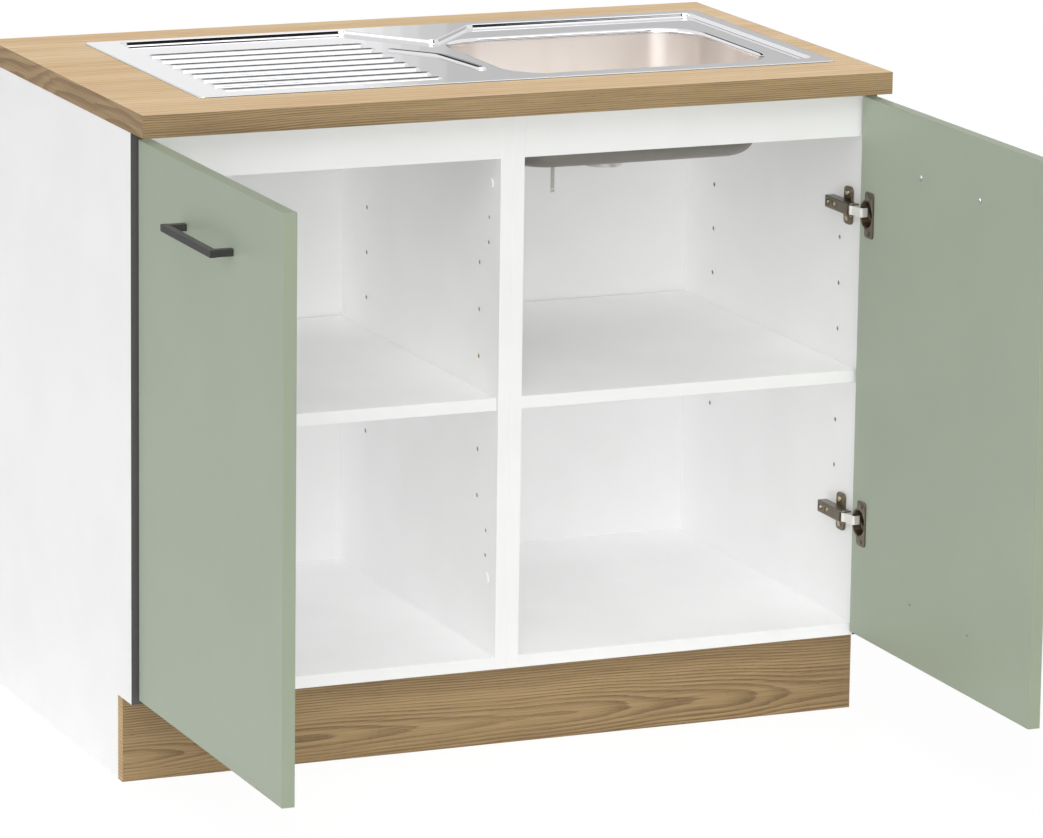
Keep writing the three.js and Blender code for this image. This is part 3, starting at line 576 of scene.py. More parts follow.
# %% Lines with round corners
def rounded_outline(low, high, radius, steps=8):
    (x0, y0), (x1, y1) = low, high
    centres = [(x1 - radius, y0 + radius, -90), (x1 - radius, y1 - radius, 0),
               (x0 + radius, y1 - radius, 90), (x0 + radius, y0 + radius, 180)]
    return [(x + radius * math.cos(math.radians(start + 90 * i / steps)),
             y + radius * math.sin(math.radians(start + 90 * i / steps)))
            for x, y, start in centres for i in range(steps + 1)]


def soft_outline(corner_points, radii, step=1.6, longest=45, closed=True):
    """A counter-clockwise outline with round corners, as (x, y, outward x, outward y)."""
    line, places = [], [Vector(point) for point in corner_points]
    for i, (here, radius) in enumerate(zip(places, radii)):
        before = (here - places[i - 1]).normalized()
        after = (places[(i + 1) % len(places)] - here).normalized()
        if not closed and i in (0, len(places) - 1):
            along = before if i else after
            line.append((*corner_points[i], along.y, -along.x))
            continue
        turn = math.atan2(before.cross(after), before.dot(after))
        start = here - before * (radius * math.tan(abs(turn) / 2))
        sign = 1 if turn > 0 else -1
        outward = Vector((before.y, -before.x))
        centre = start - sign * radius * outward
        steps = max(4, math.ceil(abs(turn) * radius / step))
        for k in range(steps + 1):
            n = Matrix.Rotation(turn * k / steps, 2) @ outward
            p = centre + sign * radius * n
            line.append((p.x, p.y, n.x, n.y))
    full = []
    for first, second in zip(line, line[1:] + line[:1] if closed else line[1:]):
        full.append(first)
        extra = math.ceil(math.dist(first[:2], second[:2]) / longest) - 1
        for k in range(extra):
            t = (k + 1) / (extra + 1)
            full.append((first[0] + t * (second[0] - first[0]),
                         first[1] + t * (second[1] - first[1]), first[2], first[3]))
    return full if closed else full + line[-1:]


def round_the(spine, steps=10):
    """The closed line that runs down one side of an open line and back up the other."""
    loop = []
    for run in (spine, [(x, y, -nx, -ny) for x, y, nx, ny in reversed(spine)]):
        loop += run
        x, y, nx, ny = run[-1]
        for k in range(1, steps):
            n = Matrix.Rotation(math.pi * k / steps, 2) @ Vector((nx, ny))
            loop.append((x, y, n.x, n.y))
    return loop


def bent_strip(name, corner_points, radius, thickness, start, end, axis="z"):
    """A strip bent along these points, this thick, from start to end along the axis."""
    radii = [0] + [radius] * (len(corner_points) - 2) + [0]
    middle = soft_outline(corner_points, radii, step=0.6, longest=500, closed=False)
    half = thickness / 2
    return extruded(name, [(x + half * nx, y + half * ny)
                           for x, y, nx, ny in round_the(middle, 6)], start, end, axis)


def moved(piece, turn, at):
    for v in piece.data.vertices:
        v.co = turn @ v.co + Vector(at) * MM
    return piece


def screw_head(name, diameter, height, recess, at, axis):
    """A pan head with a cross recess, standing on the point at, its top towards axis."""
    r, w, c = diameter / 2, recess * 0.17, recess / 2
    head = turned(name, [(0, 0), (r, 0), (r, height * 0.45), (r * 0.9, height * 0.8),
                         (r * 0.7, height), (0, height)], 32)
    cross = [(c, -w), (c, w), (w, w), (w, c), (-w, c), (-w, w), (-c, w), (-c, -w), (-w, -w),
             (-w, -c), (w, -c), (w, -w)]
    combined(head, extruded("cross", cross[::-1], height * 0.35, height + 1))
    return moved(head, tipped(axis), at)


print("a square of 10 mm with corners of 2 mm has",
      len(rounded_outline((0, 0), (10, 10), 2)), "points")

# %% [markdown]
# ## The carcasses
# Each carcass is two sides, a bottom, two rails under the worktop, a thin back and a shelf. They
# are plain boards, so an eased box is the honest way to make them. What makes them read as
# boards is the small work: the toe notch, the two rows of shelf-pin holes, the holes for hinge
# plates, and the separate dark band on the outer sides' front edges.

# %% Boards and hole rows
SIDES = (("left", -1), ("right", 1))
OUTER_WALL, INNER_WALL = 484, 16
TOE_DEPTH, TOE_HEIGHT = 9, 108
SHELF_PIN_Z, PIN_ROWS = 439.2, {"front": 23, "rear": 409}
HINGE_HEIGHTS = {"lower": 264, "upper": 666}
PLATE_ROW, PLATE_SCREW = -6, 16
BOLT_ROW, BOLT_HEIGHTS = -13, {"lower": 220, "upper": 726}


def walls(hand):
    """A compartment's two walls: their names, where their faces are, and the way into them."""
    return ("outer", hand * OUTER_WALL, hand), ("inner", hand * INNER_WALL, -hand)


def side_holes(x, into, bolts):
    spots = [(y, SHELF_PIN_Z + 60 * step, 5.6, 10) for y in PIN_ROWS.values()
             for step in range(-2, 4)]
    spots += [(PLATE_ROW, z + half, 5, 10) for z in HINGE_HEIGHTS.values()
              for half in (-PLATE_SCREW, PLATE_SCREW)]
    if bolts:
        spots += [(BOLT_ROW, z, 8.6, 15) for z in BOLT_HEIGHTS.values()]
    return [((x, y, z), (into, 0, 0), diameter, depth) for y, z, diameter, depth in spots]


def side_outline(node):
    """A side seen from its right, with the notch for the plinth at its toe."""
    (_, front, low), (_, back, high) = corners(node)
    return [(TOE_DEPTH, low), (back, low), (back, high), (front, high), (front, TOE_HEIGHT),
            (TOE_DEPTH, TOE_HEIGHT)]


for side, hand in SIDES:
    for place, face, into in walls(hand):
        node = f"{side}_{place}_side"
        (x0, _, _), (x1, _, _) = corners(node)
        board = eased(extruded(f"{node}_board", side_outline(node), x0, x1, "x"), 0.4)
        holes = side_holes(face, into, place == "inner")
        raw_inside(finished(bored(board, holes), node, white_film), holes)
    for place in ("bottom", "front_rail", "rear_rail", "shelf"):
        node = f"{side}_{place}"
        panel(f"{node}_board", *corners(node), 0.5, node, white_film)
    node = f"{side}_back"
    panel(f"{node}_sheet", *corners(node), 0.2, node, back_film)
    node = f"{side}_edge_band"
    panel(f"{node}_strip", *corners(node), 0.35, node, dark_band)

# %% [markdown]
# ## The plinth
# One board across the front, with the wood decor on its face and a strip of the same on its ends.
# One box could be given the decor all round, but then the grain would run on through its ends, so
# the strips are pieces of their own.

# %% Plinth board and its end strips
PLINTH_STRIP = 0.8
(x0, y0, z0), (x1, y1, z1) = corners("plinth")
inner_ends = x0 + PLINTH_STRIP, x1 - PLINTH_STRIP
panel("plinth_board", (inner_ends[0], y0, z0), (inner_ends[1], y1, z1), 0.4, "plinth",
      plinth_wood)
for side, low, high in (("left", x0, inner_ends[0]), ("right", inner_ends[1], x1)):
    panel(f"plinth_{side}_strip", (low, y0, z0), (high, y1, z1), 0.25, "plinth", plinth_end)
print("plinth", round(x1 - x0), "x", round(z1 - z0), "mm")

# %% [markdown]
# ## The worktop
# A 28 mm slab: decor on top, backing paper below, a banded front edge and ends, and bare
# chipboard at the rear and in the sink's cut-out. It could be one box with one material, but the
# edge of a real top shows where the sheet ends and the band begins, so the bands are strips.

# %% Slab, bands and cut-out
BAND = 1.0
CUTOUT_LOW, CUTOUT_HIGH, CUTOUT_CORNER = (-385, 16), (455, 431), 20
(x0, y0, z0), (x1, y1, z1) = corners("worktop")
slab = eased(block("worktop_slab", (x0 + BAND, y0 + BAND, z0), (x1 - BAND, y1, z1)), 0.3)
opening = rounded_outline(CUTOUT_LOW, CUTOUT_HIGH, CUTOUT_CORNER)
combined(slab, extruded("opening", opening, z0 - 5, z1 + 5))
finished(slab, "worktop", worktop_top)
for finish in (raw_board, backing):
    slab.data.materials.append(finish.material)
for face in slab.data.polygons:
    if face.normal.z < -0.9:
        face.material_index = 2
    elif abs(face.normal.z) < 0.5:
        face.material_index = 1
panel("worktop_front_band", (x0, y0, z0), (x1, y0 + BAND, z1), 0.4, "worktop", worktop_edge)
for side, low, high in (("left", x0, x0 + BAND), ("right", x1 - BAND, x1)):
    panel(f"worktop_{side}_band", (low, y0 + BAND, z0), (high, y1, z1), 0.4, "worktop",
          worktop_end)
print("worktop", round(x1 - x0), "x", round(y1 - y0), "x", round(z1 - z0), "mm")

# %% [markdown]
# ## The doors
# A door is a board with a 1 mm band round its four edges. Band and film come from different
# rolls, and the band is a shade darker. The band is one mitred ring here, so that its corners
# show the seam as a real one does. The board is bored for the hinge cups, their dowels, the
# handle's screws and two pilot dots.

# %% Door boards and bands
CUP_Y, DOWEL_Y, DOWEL_END = -71.3, -78.3, 24
HANDLE_YS, HANDLE_Z, PILOT_Z = (-378.8, -218.8), 739, 191


def ring(name, x0, x1, low, high, band):
    """A frame round a board in the y-z plane, this wide, mitred at its corners."""
    (a, b), (c, d) = low, high
    outer = [(a, b), (c, b), (c, d), (a, d)]
    inner = [(a + band, b + band), (c - band, b + band), (c - band, d - band),
             (a + band, d - band)]
    points = [(x, y, z) for x in (x0, x1) for loop in (outer, inner) for y, z in loop]
    faces = []
    for i in range(4):
        j = (i + 1) % 4
        faces += [[i, 4 + i, 4 + j, j], [8 + i, 8 + j, 12 + j, 12 + i],
                  [i, j, 8 + j, 8 + i], [4 + i, 12 + i, 12 + j, 4 + j]]
    return piece_from(name, points, faces)


for side, hand in SIDES:
    node = f"{side}_door"
    (x0, y0, z0), (x1, y1, z1) = corners(node)
    inner = x1 if hand < 0 else x0
    board = eased(block(f"{node}_board", (x0, y0 + BAND, z0 + BAND), (x1, y1 - BAND, z1 - BAND)),
                  0.15, 1)
    spots = [spot for y in HANDLE_YS for spot in ((y, HANDLE_Z, 4.6, 17), (y, PILOT_Z, 3, 1.5))]
    for height in HINGE_HEIGHTS.values():
        spots += [(CUP_Y, height, 35.6, 11.8), (DOWEL_Y, height - DOWEL_END, 7.6, 8.3),
                  (DOWEL_Y, height + DOWEL_END, 7.6, 8.3)]
    holes = [((inner, y, z), (hand, 0, 0), diameter, depth) for y, z, diameter, depth in spots]
    raw_inside(finished(bored(board, holes, 0.2, 40), node, green_film), holes)
    band = eased(ring(f"{node}_band", x0, x1, (y0, z0), (y1, z1), BAND), 0.35)
    finished(band, node, green_band)
print("doors", round(y1 - y0, 1), "x", round(z1 - z0, 1), "mm, hinges at", HINGE_HEIGHTS)

# %% [markdown]
# ## Handles
# A straight bar of square section on two square legs, powder coated in anthracite. Bar and legs
# could be three boxes pushed together, but the coat runs over the joint and hides it, so one
# outline of the whole handle is extruded and eased.

# %% Handles
GRIP = 9
for side, hand in SIDES:
    (x0, y0, z0), (x1, y1, z1) = corners(f"{side}_handle")
    foot, tip = (x1, x0) if hand < 0 else (x0, x1)
    grip = tip - hand * GRIP
    outline = [(tip, y0), (tip, y1), (grip, y1)]
    for y in reversed(HANDLE_YS):
        outline += [(grip, y + GRIP / 2), (foot, y + GRIP / 2), (foot, y - GRIP / 2),
                    (grip, y - GRIP / 2)]
    outline.append((grip, y0))
    bar = eased(extruded(f"{side}_handle_bar", outline[::hand], z0, z1), 0.7, 3)
    finished(bar, f"{side}_handle", anthracite)
print("handle", round(y1 - y0), "mm long, legs", round(HANDLE_YS[1] - HANDLE_YS[0]), "mm apart")

# %% [markdown]
# ### Handle screws
# Each leg is held by a machine screw from inside the door. Only its head shows there, but the
# shank is made too, because a door seen from its edge or cut open should have it. The thread is
# inside the board, so the shank is left plain.

# %% Screws through the doors
DOOR_WALL = 476.4
for side, hand in SIDES:
    for end, y in zip(("free_side", "hinge_side"), HANDLE_YS):
        node = f"{side}_handle_screw_{end}"
        spot, out = (hand * DOOR_WALL, y, HANDLE_Z), (-hand, 0, 0)
        shank = turned(f"{node}_shank", [(0, -26.2), (1.6, -26.2), (2, -25.4), (2, 0), (0, 0)],
                       20, spot, out)
        finished(shank, node, zinc)
        finished(screw_head(f"{node}_head", 8, 2, 4.6, spot, out), node, zinc)
print("handle screws at", HANDLE_YS)

# %% [markdown]
# ## Concealed hinges
# A concealed hinge has three visible parts: a cup let into the door with two wings, an arm on a
# plate that is screwed to the side, and the link between them. At this size the eye reads edges,
# slots and screw heads, so those are cut, and the hidden springs are left out. Everything is
# drawn off the wall it is fixed to and then flipped to the left or right side.
#
# ### Cups
# The cup is a turned can. Its wings widen into a collar round it, and that could be a plate
# joined with a disc, but the joint would leave slivers, so the outline is drawn in one go.

# %% Hinge cups with their wings
OFF_WALL = (1, 0, 0)
CUP_WALL = 476.6
COLLAR, WING_BACK, WING_FRONT, WING_END = 19, 19, 5, 29.5


def flipped(piece, hand, origin, height):
    """Moves a piece drawn as (distance off the wall, y, z) to a wall on the left or right."""
    for v in piece.data.vertices:
        u, y, z = v.co
        v.co = (hand * (origin * MM - u), y, z + height * MM)
    if hand > 0:
        piece.data.flip_normals()
    return piece


def fit_hinges(part, wall, pieces_of):
    """Makes one part of all four hinges and flips it to its wall."""
    count = 0
    for side, hand in SIDES:
        for level, height in HINGE_HEIGHTS.items():
            node = f"{side}_{level}_hinge_{part}"
            for piece, finish in pieces_of(node):
                finished(flipped(piece, hand, wall, height), node, finish)
                count += 1
    print("hinge", part, "pieces:", count)


def hinge_cup(node):
    can = turned(f"{node}_can", [
        (0, -11.5), (14.5, -11.5), (16.6, -10.9), (17.5, -9), (17.5, 1.6), (17.1, 2), (16.6, 1.6),
        (16.5, -8.6), (15.8, -10), (14.2, -10.5), (0, -10.5)], 56, (0, CUP_Y, 0), OFF_WALL)
    outline = rounded_outline((CUP_Y - WING_BACK, -WING_END), (CUP_Y + WING_FRONT, WING_END), 5)
    swing = math.acos(WING_FRONT / COLLAR)
    outline[9:9] = [(CUP_Y + COLLAR * math.cos(swing * k / 20), COLLAR * math.sin(swing * k / 20))
                    for k in range(-20, 21)]
    wings = extruded(f"{node}_wings", outline, 0.2, 1.9, "x")
    combined(wings, rod("bore", 17.5, -1, 3, 56, (0, CUP_Y, 0), OFF_WALL))
    pieces = [(can, nickel), (eased(wings, 0.35, 2, 50), nickel)]
    for place, end in (("upper", DOWEL_END), ("lower", -DOWEL_END)):
        dowel = turned(f"{node}_{place}_dowel", [
            (0, -8), (2.9, -8), (3.4, -7.2), (3.1, -6.2), (3.5, -5.4), (3.1, -4.4), (3.5, -3.6),
            (3.1, -2.6), (3.5, -1.8), (3.5, 0), (0, 0)], 24, (0, DOWEL_Y, end), OFF_WALL)
        head = screw_head(f"{node}_{place}_screw", 6.6, 1.1, 4.2, (1.9, DOWEL_Y, end), OFF_WALL)
        pieces += [(dowel, plastic), (head, nickel)]
    return pieces


fit_hinges("cup", CUP_WALL, hinge_cup)

# %% [markdown]
# ### Arms on their plates
# The arm is a channel pressed from sheet, open towards its plate and towards the link, with a
# slot under each adjusting screw. Bending a flat sheet would do it, but a block that is hollowed
# from below gives the same walls with fewer steps.

# %% Hinge arms
ARM_HALF, ARM_SHEET = 7.85, 1.6
RIVET_U, RIVET_Y = 13.5, -36.5
SLOTS = {"side": 7, "depth": 25}


def hinge_arm(node):
    plate = extruded(f"{node}_plate", rounded_outline((-17, -24.5), (5, 24.5), 6), 0.2, 4.2, "x")
    arm = eased(block(f"{node}_channel", (3.4, -40, -ARM_HALF), (17, 34, ARM_HALF)), 1.3, 3)
    hollow = ARM_HALF - ARM_SHEET
    combined(arm, block("inside", (-2, -50, -hollow), (15, 32, hollow)))
    combined(arm, block("nose", (-2, -50, -hollow), (19, -32, hollow)))
    for y in SLOTS.values():
        slot = rounded_outline((y - 5.2, -3.4), (y + 5.2, 3.4), 3.3)
        combined(arm, extruded("slot", slot, 14, 19, "x"))
    rivet = turned(f"{node}_rivet", [
        (0, -8.3), (1.7, -8.3), (2, -7.9), (1.3, -7.8), (1.3, 7.8), (2, 7.9), (1.7, 8.3),
        (0, 8.3)], 24, (RIVET_U, RIVET_Y, 0))
    pieces = [(eased(plate, 0.9, 3, 50), nickel), (eased(arm, 0.2, 1, 50), nickel),
              (rivet, bright_nickel)]
    for place, y in SLOTS.items():
        adjuster = screw_head(f"{node}_{place}_adjuster", 6, 2.2, 4.4, (15.2, y, 0), OFF_WALL)
        stem = rod(f"{node}_{place}_stem", 2, 4.4, 15.2, 20, (0, y, 0), OFF_WALL)
        pieces += [(adjuster, gilt_nickel), (stem, gilt_nickel)]
    ridges = [spot for i in range(6) for spot in ((2.1, -8.2 + 1.3 * i), (1.7, -7.6 + 1.3 * i))]
    for place, z in (("upper", PLATE_SCREW), ("lower", -PLATE_SCREW)):
        screw = screw_head(f"{node}_{place}_screw", 8, 1.9, 4.6, (4.2, PLATE_ROW, z), OFF_WALL)
        thread = turned(f"{node}_{place}_thread", [
            (0, -9), (1.4, -9), *ridges, (2.1, 0.2), (2.1, 4.2), (0, 4.2)], 20,
            (0, PLATE_ROW, z), OFF_WALL)
        pieces += [(screw, gilt_nickel), (thread, zinc)]
    return pieces


fit_hinges("arm", OUTER_WALL, hinge_arm)

# %% [markdown]
# ### Links
# The link is a cranked strap of pressed and polished steel. Its finish is near white and only
# partly metal, a painted highlight that shows bright under any lamp. One end turns on the arm's
# rivet, the other dips into the cup, and both ends are rolled into a knuckle. The strap is bent
# along a line and the knuckles are joined to it, which keeps the bend's radius true.

# %% Hinge links
LINK_HALF = 5.75


def hinge_link(node):
    arm_end, cup_end = (RIVET_U, RIVET_Y), (2.4, -58.44)
    strap = bent_strip(f"{node}_strap", [arm_end, (10.17, -58.5), cup_end], 2.4, 2.6,
                       -LINK_HALF, LINK_HALF)
    for radius, end in ((3, arm_end), (1.5, cup_end)):
        combined(strap, rod("knuckle", radius, -LINK_HALF, LINK_HALF, 32, (*end, 0)), "UNION")
    combined(strap, rod("eye", 1.8, -7, 7, 24, (*arm_end, 0)))
    return [(eased(strap, 0.3, 2, 50), link_polish_and_painted_highlight)]


fit_hinges("link", OUTER_WALL, hinge_link)

# %% [markdown]
# ## Shelf pins
# Each shelf lies on four turned steel pins with a collar, two in each wall. A plain cylinder
# would do from afar, but the collar is what shows under the shelf, so the profile has it.

# %% Four pins under each shelf
for side, hand in SIDES:
    for place, x, into in walls(hand):
        for row, y in PIN_ROWS.items():
            node = f"{side}_shelf_pin_{place}_{row}"
            pin = turned(f"{node}_peg", [
                (0, -9), (2, -9), (2.5, -8.4), (2.5, 0.1), (3.2, 0.1), (3.2, 0.8), (2.5, 0.8),
                (2.5, 7.5), (2, 8), (0, 8)], 28, (x, y, SHELF_PIN_Z), (-into, 0, 0))
            finished(pin, node, zinc)
print("shelf pins at", SHELF_PIN_Z, "mm")

# %% [markdown]
# ## Bolts between the carcasses
# Two bolts hold the inner sides together, and a white cap covers each of their ends. The shank
# is hidden in its bore, so it is a plain bar, and the caps are turned with a domed edge.

# %% Bolts and their caps
for level, z in BOLT_HEIGHTS.items():
    node = f"connector_bolt_{level}"
    finished(rod(f"{node}_shank", 4, -16, 16, 32, (0, BOLT_ROW, z), (1, 0, 0)), node, zinc)
    for place, way in SIDES:
        cap = turned(f"{node}_{place}_cap", [
            (0, 16.1), (7, 16.1), (7, 16.9), (6.4, 17.5), (4, 17.7), (0, 17.7)], 40,
            (0, BOLT_ROW, z), (way, 0, 0))
        finished(cap, node, white_film)
print("bolts at", BOLT_HEIGHTS)

# %% [markdown]
# ## Nails in the backs
# The thin backs are nailed on from behind. The nails of one back are one piece of many parts:
# each is too small to be worth a piece of its own, and they never move apart.

# %% Nails along the edges
NAIL_EDGE, NAIL_END = 8, 40
for side, _ in SIDES:
    (x0, _, z0), (x1, y1, z1) = corners(f"{side}_back")
    spots = [(x, z0 + NAIL_END + (z1 - z0 - 2 * NAIL_END) * k / 5)
             for x in (x0 + NAIL_EDGE, x1 - NAIL_EDGE) for k in range(6)]
    spots += [(x0 + (x1 - x0) * k / 4, z)
              for z in (z0 + NAIL_EDGE, z1 - NAIL_EDGE) for k in (1, 2, 3)]
    nails = merged(f"{side}_back_nails", [turned("nail", [
        (0, -6), (0.7, -6), (0.7, 0), (1.6, 0), (1.6, 0.3), (0.9, 0.6), (0, 0.6)], 12,
        (x, y1, z), (0, 1, 0)) for x, z in spots])
    finished(nails, f"{side}_back", zinc)
print(len(spots), "nails in each back")

# %% [markdown]
# ## Under the sink
# Bent clips pull the rim on to the worktop. Each is a strip of zinc-plated steel with a hook at
# the rim and a foot for its screw. It is drawn once, for the front edge, and turned for the ends.

# %% Clips and their screws
CLIP_HALF, END_CLIP_Y = 10, 114
CLIPS = {"front_clip_1": ((-200, CUTOUT_LOW[1], 0), 0),
         "front_clip_2": ((230, CUTOUT_LOW[1], 0), 0),
         "left_clip": ((CUTOUT_LOW[0], END_CLIP_Y, 0), -1),
         "right_clip": ((CUTOUT_HIGH[0], END_CLIP_Y, 0), 1)}
for node, (at, quarter_turns) in CLIPS.items():
    strip = bent_strip(f"{node}_strip", [
        (-16, 820.95), (2.75, 820.95), (2.75, 848.95), (6.5, 848.95)], 2.2, 1.5,
        -CLIP_HALF, CLIP_HALF, "x")
    screw = screw_head(f"{node}_screw", 6.5, 2, 4, (0, -7, 820.2), (0, 0, -1))
    turn = Matrix.Rotation(quarter_turns * math.pi / 2, 3, "Z")
    for piece in (eased(strip, 0.3, 2, 50), screw):
        finished(moved(piece, turn, at), node, zinc)
print("clips:", *CLIPS)

# %% [markdown]
# ### Tag, seals and nut
# A small bent tag is spot welded to the bowl for the earth wire. One rubber ring lies under the
# rim, another between the bowl and the nut of the waste. They could be drawn again, but they have
# their solids' own shape, so those meshes are copied and eased. The nut is plastic, and its lobes
# are a wave round a circle.

# %% Earth tag, seals and waste nut
(x0, y0, z0), (x1, y1, z1) = corners("earth_tag")
tag = bent_strip("earth_tag_strip", [(y1, z1 - 0.5), (y0 + 0.5, z1 - 0.5), (y0 + 0.5, z0)],
                 1.2, 1, x0, x1, "x")
combined(tag, rod("hole", 1.3, -3, 3, 20, ((x0 + x1) / 2, y0, z0 + 4), (0, 1, 0)))
finished(eased(tag, 0.15, 2, 50), "earth_tag", bright_nickel)
for node in ("sink_seal", "waste_seal"):
    finished(eased(copied(node, f"{node}_ring"), 0.25, 2, 50), node, rubber)

NUT_RADIUS, NUT_BORE, LOBES, NUT_POINTS = 31, 25.3, 16, 96
(x0, y0, z0), (x1, y1, z1) = corners("waste_nut")
middle = (x0 + x1) / 2, (y0 + y1) / 2
outline = []
for i in range(NUT_POINTS):
    a = 2 * math.pi * i / NUT_POINTS
    r = NUT_RADIUS + math.cos(LOBES * a)
    outline.append((middle[0] + r * math.cos(a), middle[1] + r * math.sin(a)))
nut = extruded("waste_nut_body", outline, z0, z1)
combined(nut, rod("bore", NUT_BORE, z0 - 2, z1 + 2, 64, (*middle, 0)))
finished(eased(nut, 0.6, 2, 50), "waste_nut", plastic)
print("waste nut", round(x1 - x0), "mm across, with", LOBES, "lobes")

# %% [markdown]
# ## The sink
# The sink is pressed from one sheet of steel, and its polish shows every dent, so its shape has
# to be smooth to the last degree. A subdivided box would wobble. Instead the press is followed:
# each feature, such as a ridge or the wall of the drainer, is a stack of contour lines with a
# known height and slope. A Delaunay fill joins the lines, and the known slopes become the
# normals, so that a reflection runs over it as it does over real steel.

# %% Contour lines
RIM_TOP, PAN_TOP, FLOOR_TOP, SHEET = 852, 847, 721, 0.9
plane_points, plane_normals, plane_edges = [], [], []


def contour(line, offset, height, slope, closed=True):
    """Adds the line, moved outwards by offset, at this height. slope: its rise per mm outwards."""
    start = len(plane_points)
    for x, y, nx, ny in line:
        plane_points.append((x + offset * nx, y + offset * ny, height))
        plane_normals.append(Vector((-slope * nx, -slope * ny, 1)).normalized())
    count = len(line)
    for i in range(count if closed else count - 1):
        plane_edges.append((start + i, start + (i + 1) % count))
    return list(range(start, start + count))


print("the rim stands", RIM_TOP - PAN_TOP, "mm above the drainer")

# %% [markdown]
# ### Rim, drainer wall, ridges and dam
# The rim's outer edge rolls down to the worktop. The drainer's wall is an S, and each ridge is a
# smooth bead, flat at its foot and at its crown. The dam before the bowl is one more bead, bent.

# %% Press the top
RIM_ROLL, WALL, RIDGE_HEIGHT, RIDGE_PITCH = 1.5, 3.4, 3.2, 38.4
rim_line = soft_outline([(-395, 6), (465, 6), (465, 441), (-395, 441)], [8] * 4)
edge_rings = []
for degrees in (85, 68, 50, 32, 15, 0):
    t = math.radians(degrees)
    edge_rings.append(contour(rim_line, RIM_ROLL * (math.sin(t) - 1),
                              RIM_TOP - RIM_ROLL * (1 - math.cos(t)), -math.tan(t)))

pan_line = soft_outline(
    [(-352, 36), (447, 36), (447, 419), (129, 419), (40, 314), (-45, 427), (-352, 427)],
    [12, 12, 12, 14, 10, 14, 12])
for k in range(9):
    t = k / 8
    contour(pan_line, WALL * (t - 0.5), PAN_TOP + (RIM_TOP - PAN_TOP) * t * t * (3 - 2 * t),
            (RIM_TOP - PAN_TOP) * 6 * t * (1 - t) / WALL)


def bead(spine, half_width):
    """A raised line. left is what is left of its height at the part q of its half width."""
    loop = round_the(spine)
    for q in (1, 0.97, 0.93, 0.87, 0.8, 0.71, 0.6, 0.48, 0.34, 0.18):
        left = 1 - 0.36 * q ** 2 - 0.64 * q ** 8
        contour(loop, half_width * q, PAN_TOP + RIDGE_HEIGHT * left ** 1.25,
                RIDGE_HEIGHT * 1.25 * left ** 0.25 * -(0.72 * q + 5.12 * q ** 7) / half_width)
    contour(spine, 0, PAN_TOP + RIDGE_HEIGHT, 0, closed=False)


for i in range(8):
    y = 64 + RIDGE_PITCH * i
    bead(soft_outline([(-337, y), (-60, y)], [0, 0], closed=False), 9)
bead(soft_outline([(-33, 282), (11, 226), (23, 119)], [0, 30, 0], closed=False), 7.6)
print(len(plane_points), "points on the contour lines")

# %% [markdown]
# ### The bowl
# Below its lip the bowl is too steep for a fill seen from above, so it is a stack of rings: the
# rounded lip, the wall that leans in a little, the hollow at its foot and the floor, where the
# rings turn from a rounded rectangle into the waste's circle.

# %% Draw the bowl
BOWL_X, BOWL_Y, HALF_X, HALF_Y, CORNER = 229.5, 202.5, 178.5, 140.5, 62
LIP, FOOT, DRAFT, WASTE_RADIUS = 5, 28, 5, 26


def bowl_ring(grow, z):
    """The bowl's outline at a height, this much wider, with points along its straight sides."""
    half_x, half_y = HALF_X + grow, HALF_Y + grow
    points = [Vector((x, y, z)) for x, y in rounded_outline(
        (BOWL_X - half_x, BOWL_Y - half_y), (BOWL_X + half_x, BOWL_Y + half_y), CORNER + grow, 20)]
    full = []
    for i, point in enumerate(points):
        full.append(point)
        if i % 21 == 20:
            following = points[(i + 1) % len(points)]
            full += [point.lerp(following, k / 6) for k in range(1, 6)]
    return full


def lean(z):
    return -DRAFT * (PAN_TOP - z) / (PAN_TOP - FLOOR_TOP)


rings = []
for k in range(9):
    a = math.pi / 2 * (1 - k / 8)
    z = PAN_TOP - LIP * (1 - math.sin(a))
    rings.append(bowl_ring(lean(z) + LIP * (1 - math.cos(a)), z))
for k in range(1, 5):
    z = PAN_TOP - LIP + (FLOOR_TOP + FOOT - PAN_TOP + LIP) * k / 5
    rings.append(bowl_ring(lean(z), z))
for k in range(13):
    a = math.pi / 2 * k / 12
    z = FLOOR_TOP + FOOT * (1 - math.sin(a))
    rings.append(bowl_ring(lean(z) - FOOT * (1 - math.cos(a)), z))
centre = Vector((BOWL_X, BOWL_Y, FLOOR_TOP))
last = rings[-1]
for k in range(1, 9):
    rings.append([p.lerp(centre + (p - centre).normalized() * WASTE_RADIUS, k / 8) for p in last])
per_ring = len(last)
lip_ids = contour([(p.x, p.y, 0, 0) for p in rings[0]], 0, PAN_TOP, 0)
print(len(rings), "rings of", per_ring, "points")

# %% [markdown]
# ### One sheet
# The fill is made in the plane and lifted to the heights. Triangles that cover the bowl are
# dropped, and the bowl's rings are joined on. A Solidify modifier could thicken the skin, but it
# would bend the exact normals, so the skin is doubled 0.9 mm below and its edges closed.

# %% Fill and join the bowl
flat, _, faces, sources, _, _ = delaunay_2d_cdt(
    [Vector(p[:2]) for p in plane_points], plane_edges, [], 0, 1e-4)
source = [ids[0] for ids in sources]
top_points = [Vector(plane_points[i]) for i in source]
top_normals = [plane_normals[i] for i in source]
index_of = {original: new for new, ids in enumerate(sources) for original in ids}
top_faces = []
for face in faces:
    if not all(source[i] in lip_ids for i in face):
        a, b, c = (flat[i] for i in face)
        top_faces.append(list(face) if (b - a).cross(c - a) > 0 else list(face)[::-1])
rows = [[index_of[i] for i in lip_ids]]
for ring_points in rings[1:]:
    rows.append(list(range(len(top_points), len(top_points) + per_ring)))
    top_points += ring_points
for r in range(1, len(rings)):
    for i in range(per_ring):
        along = rings[r][(i + 1) % per_ring] - rings[r][i - 1]
        below = rings[min(r + 1, len(rings) - 1)][i] - rings[r - 1][i]
        normal = along.cross(below).normalized() * -1
        top_normals.append(-normal if normal.z < 0 else normal)
for upper, lower in zip(rows, rows[1:]):
    for i in range(per_ring):
        j = (i + 1) % per_ring
        top_faces.append([upper[i], upper[j], lower[j], lower[i]])
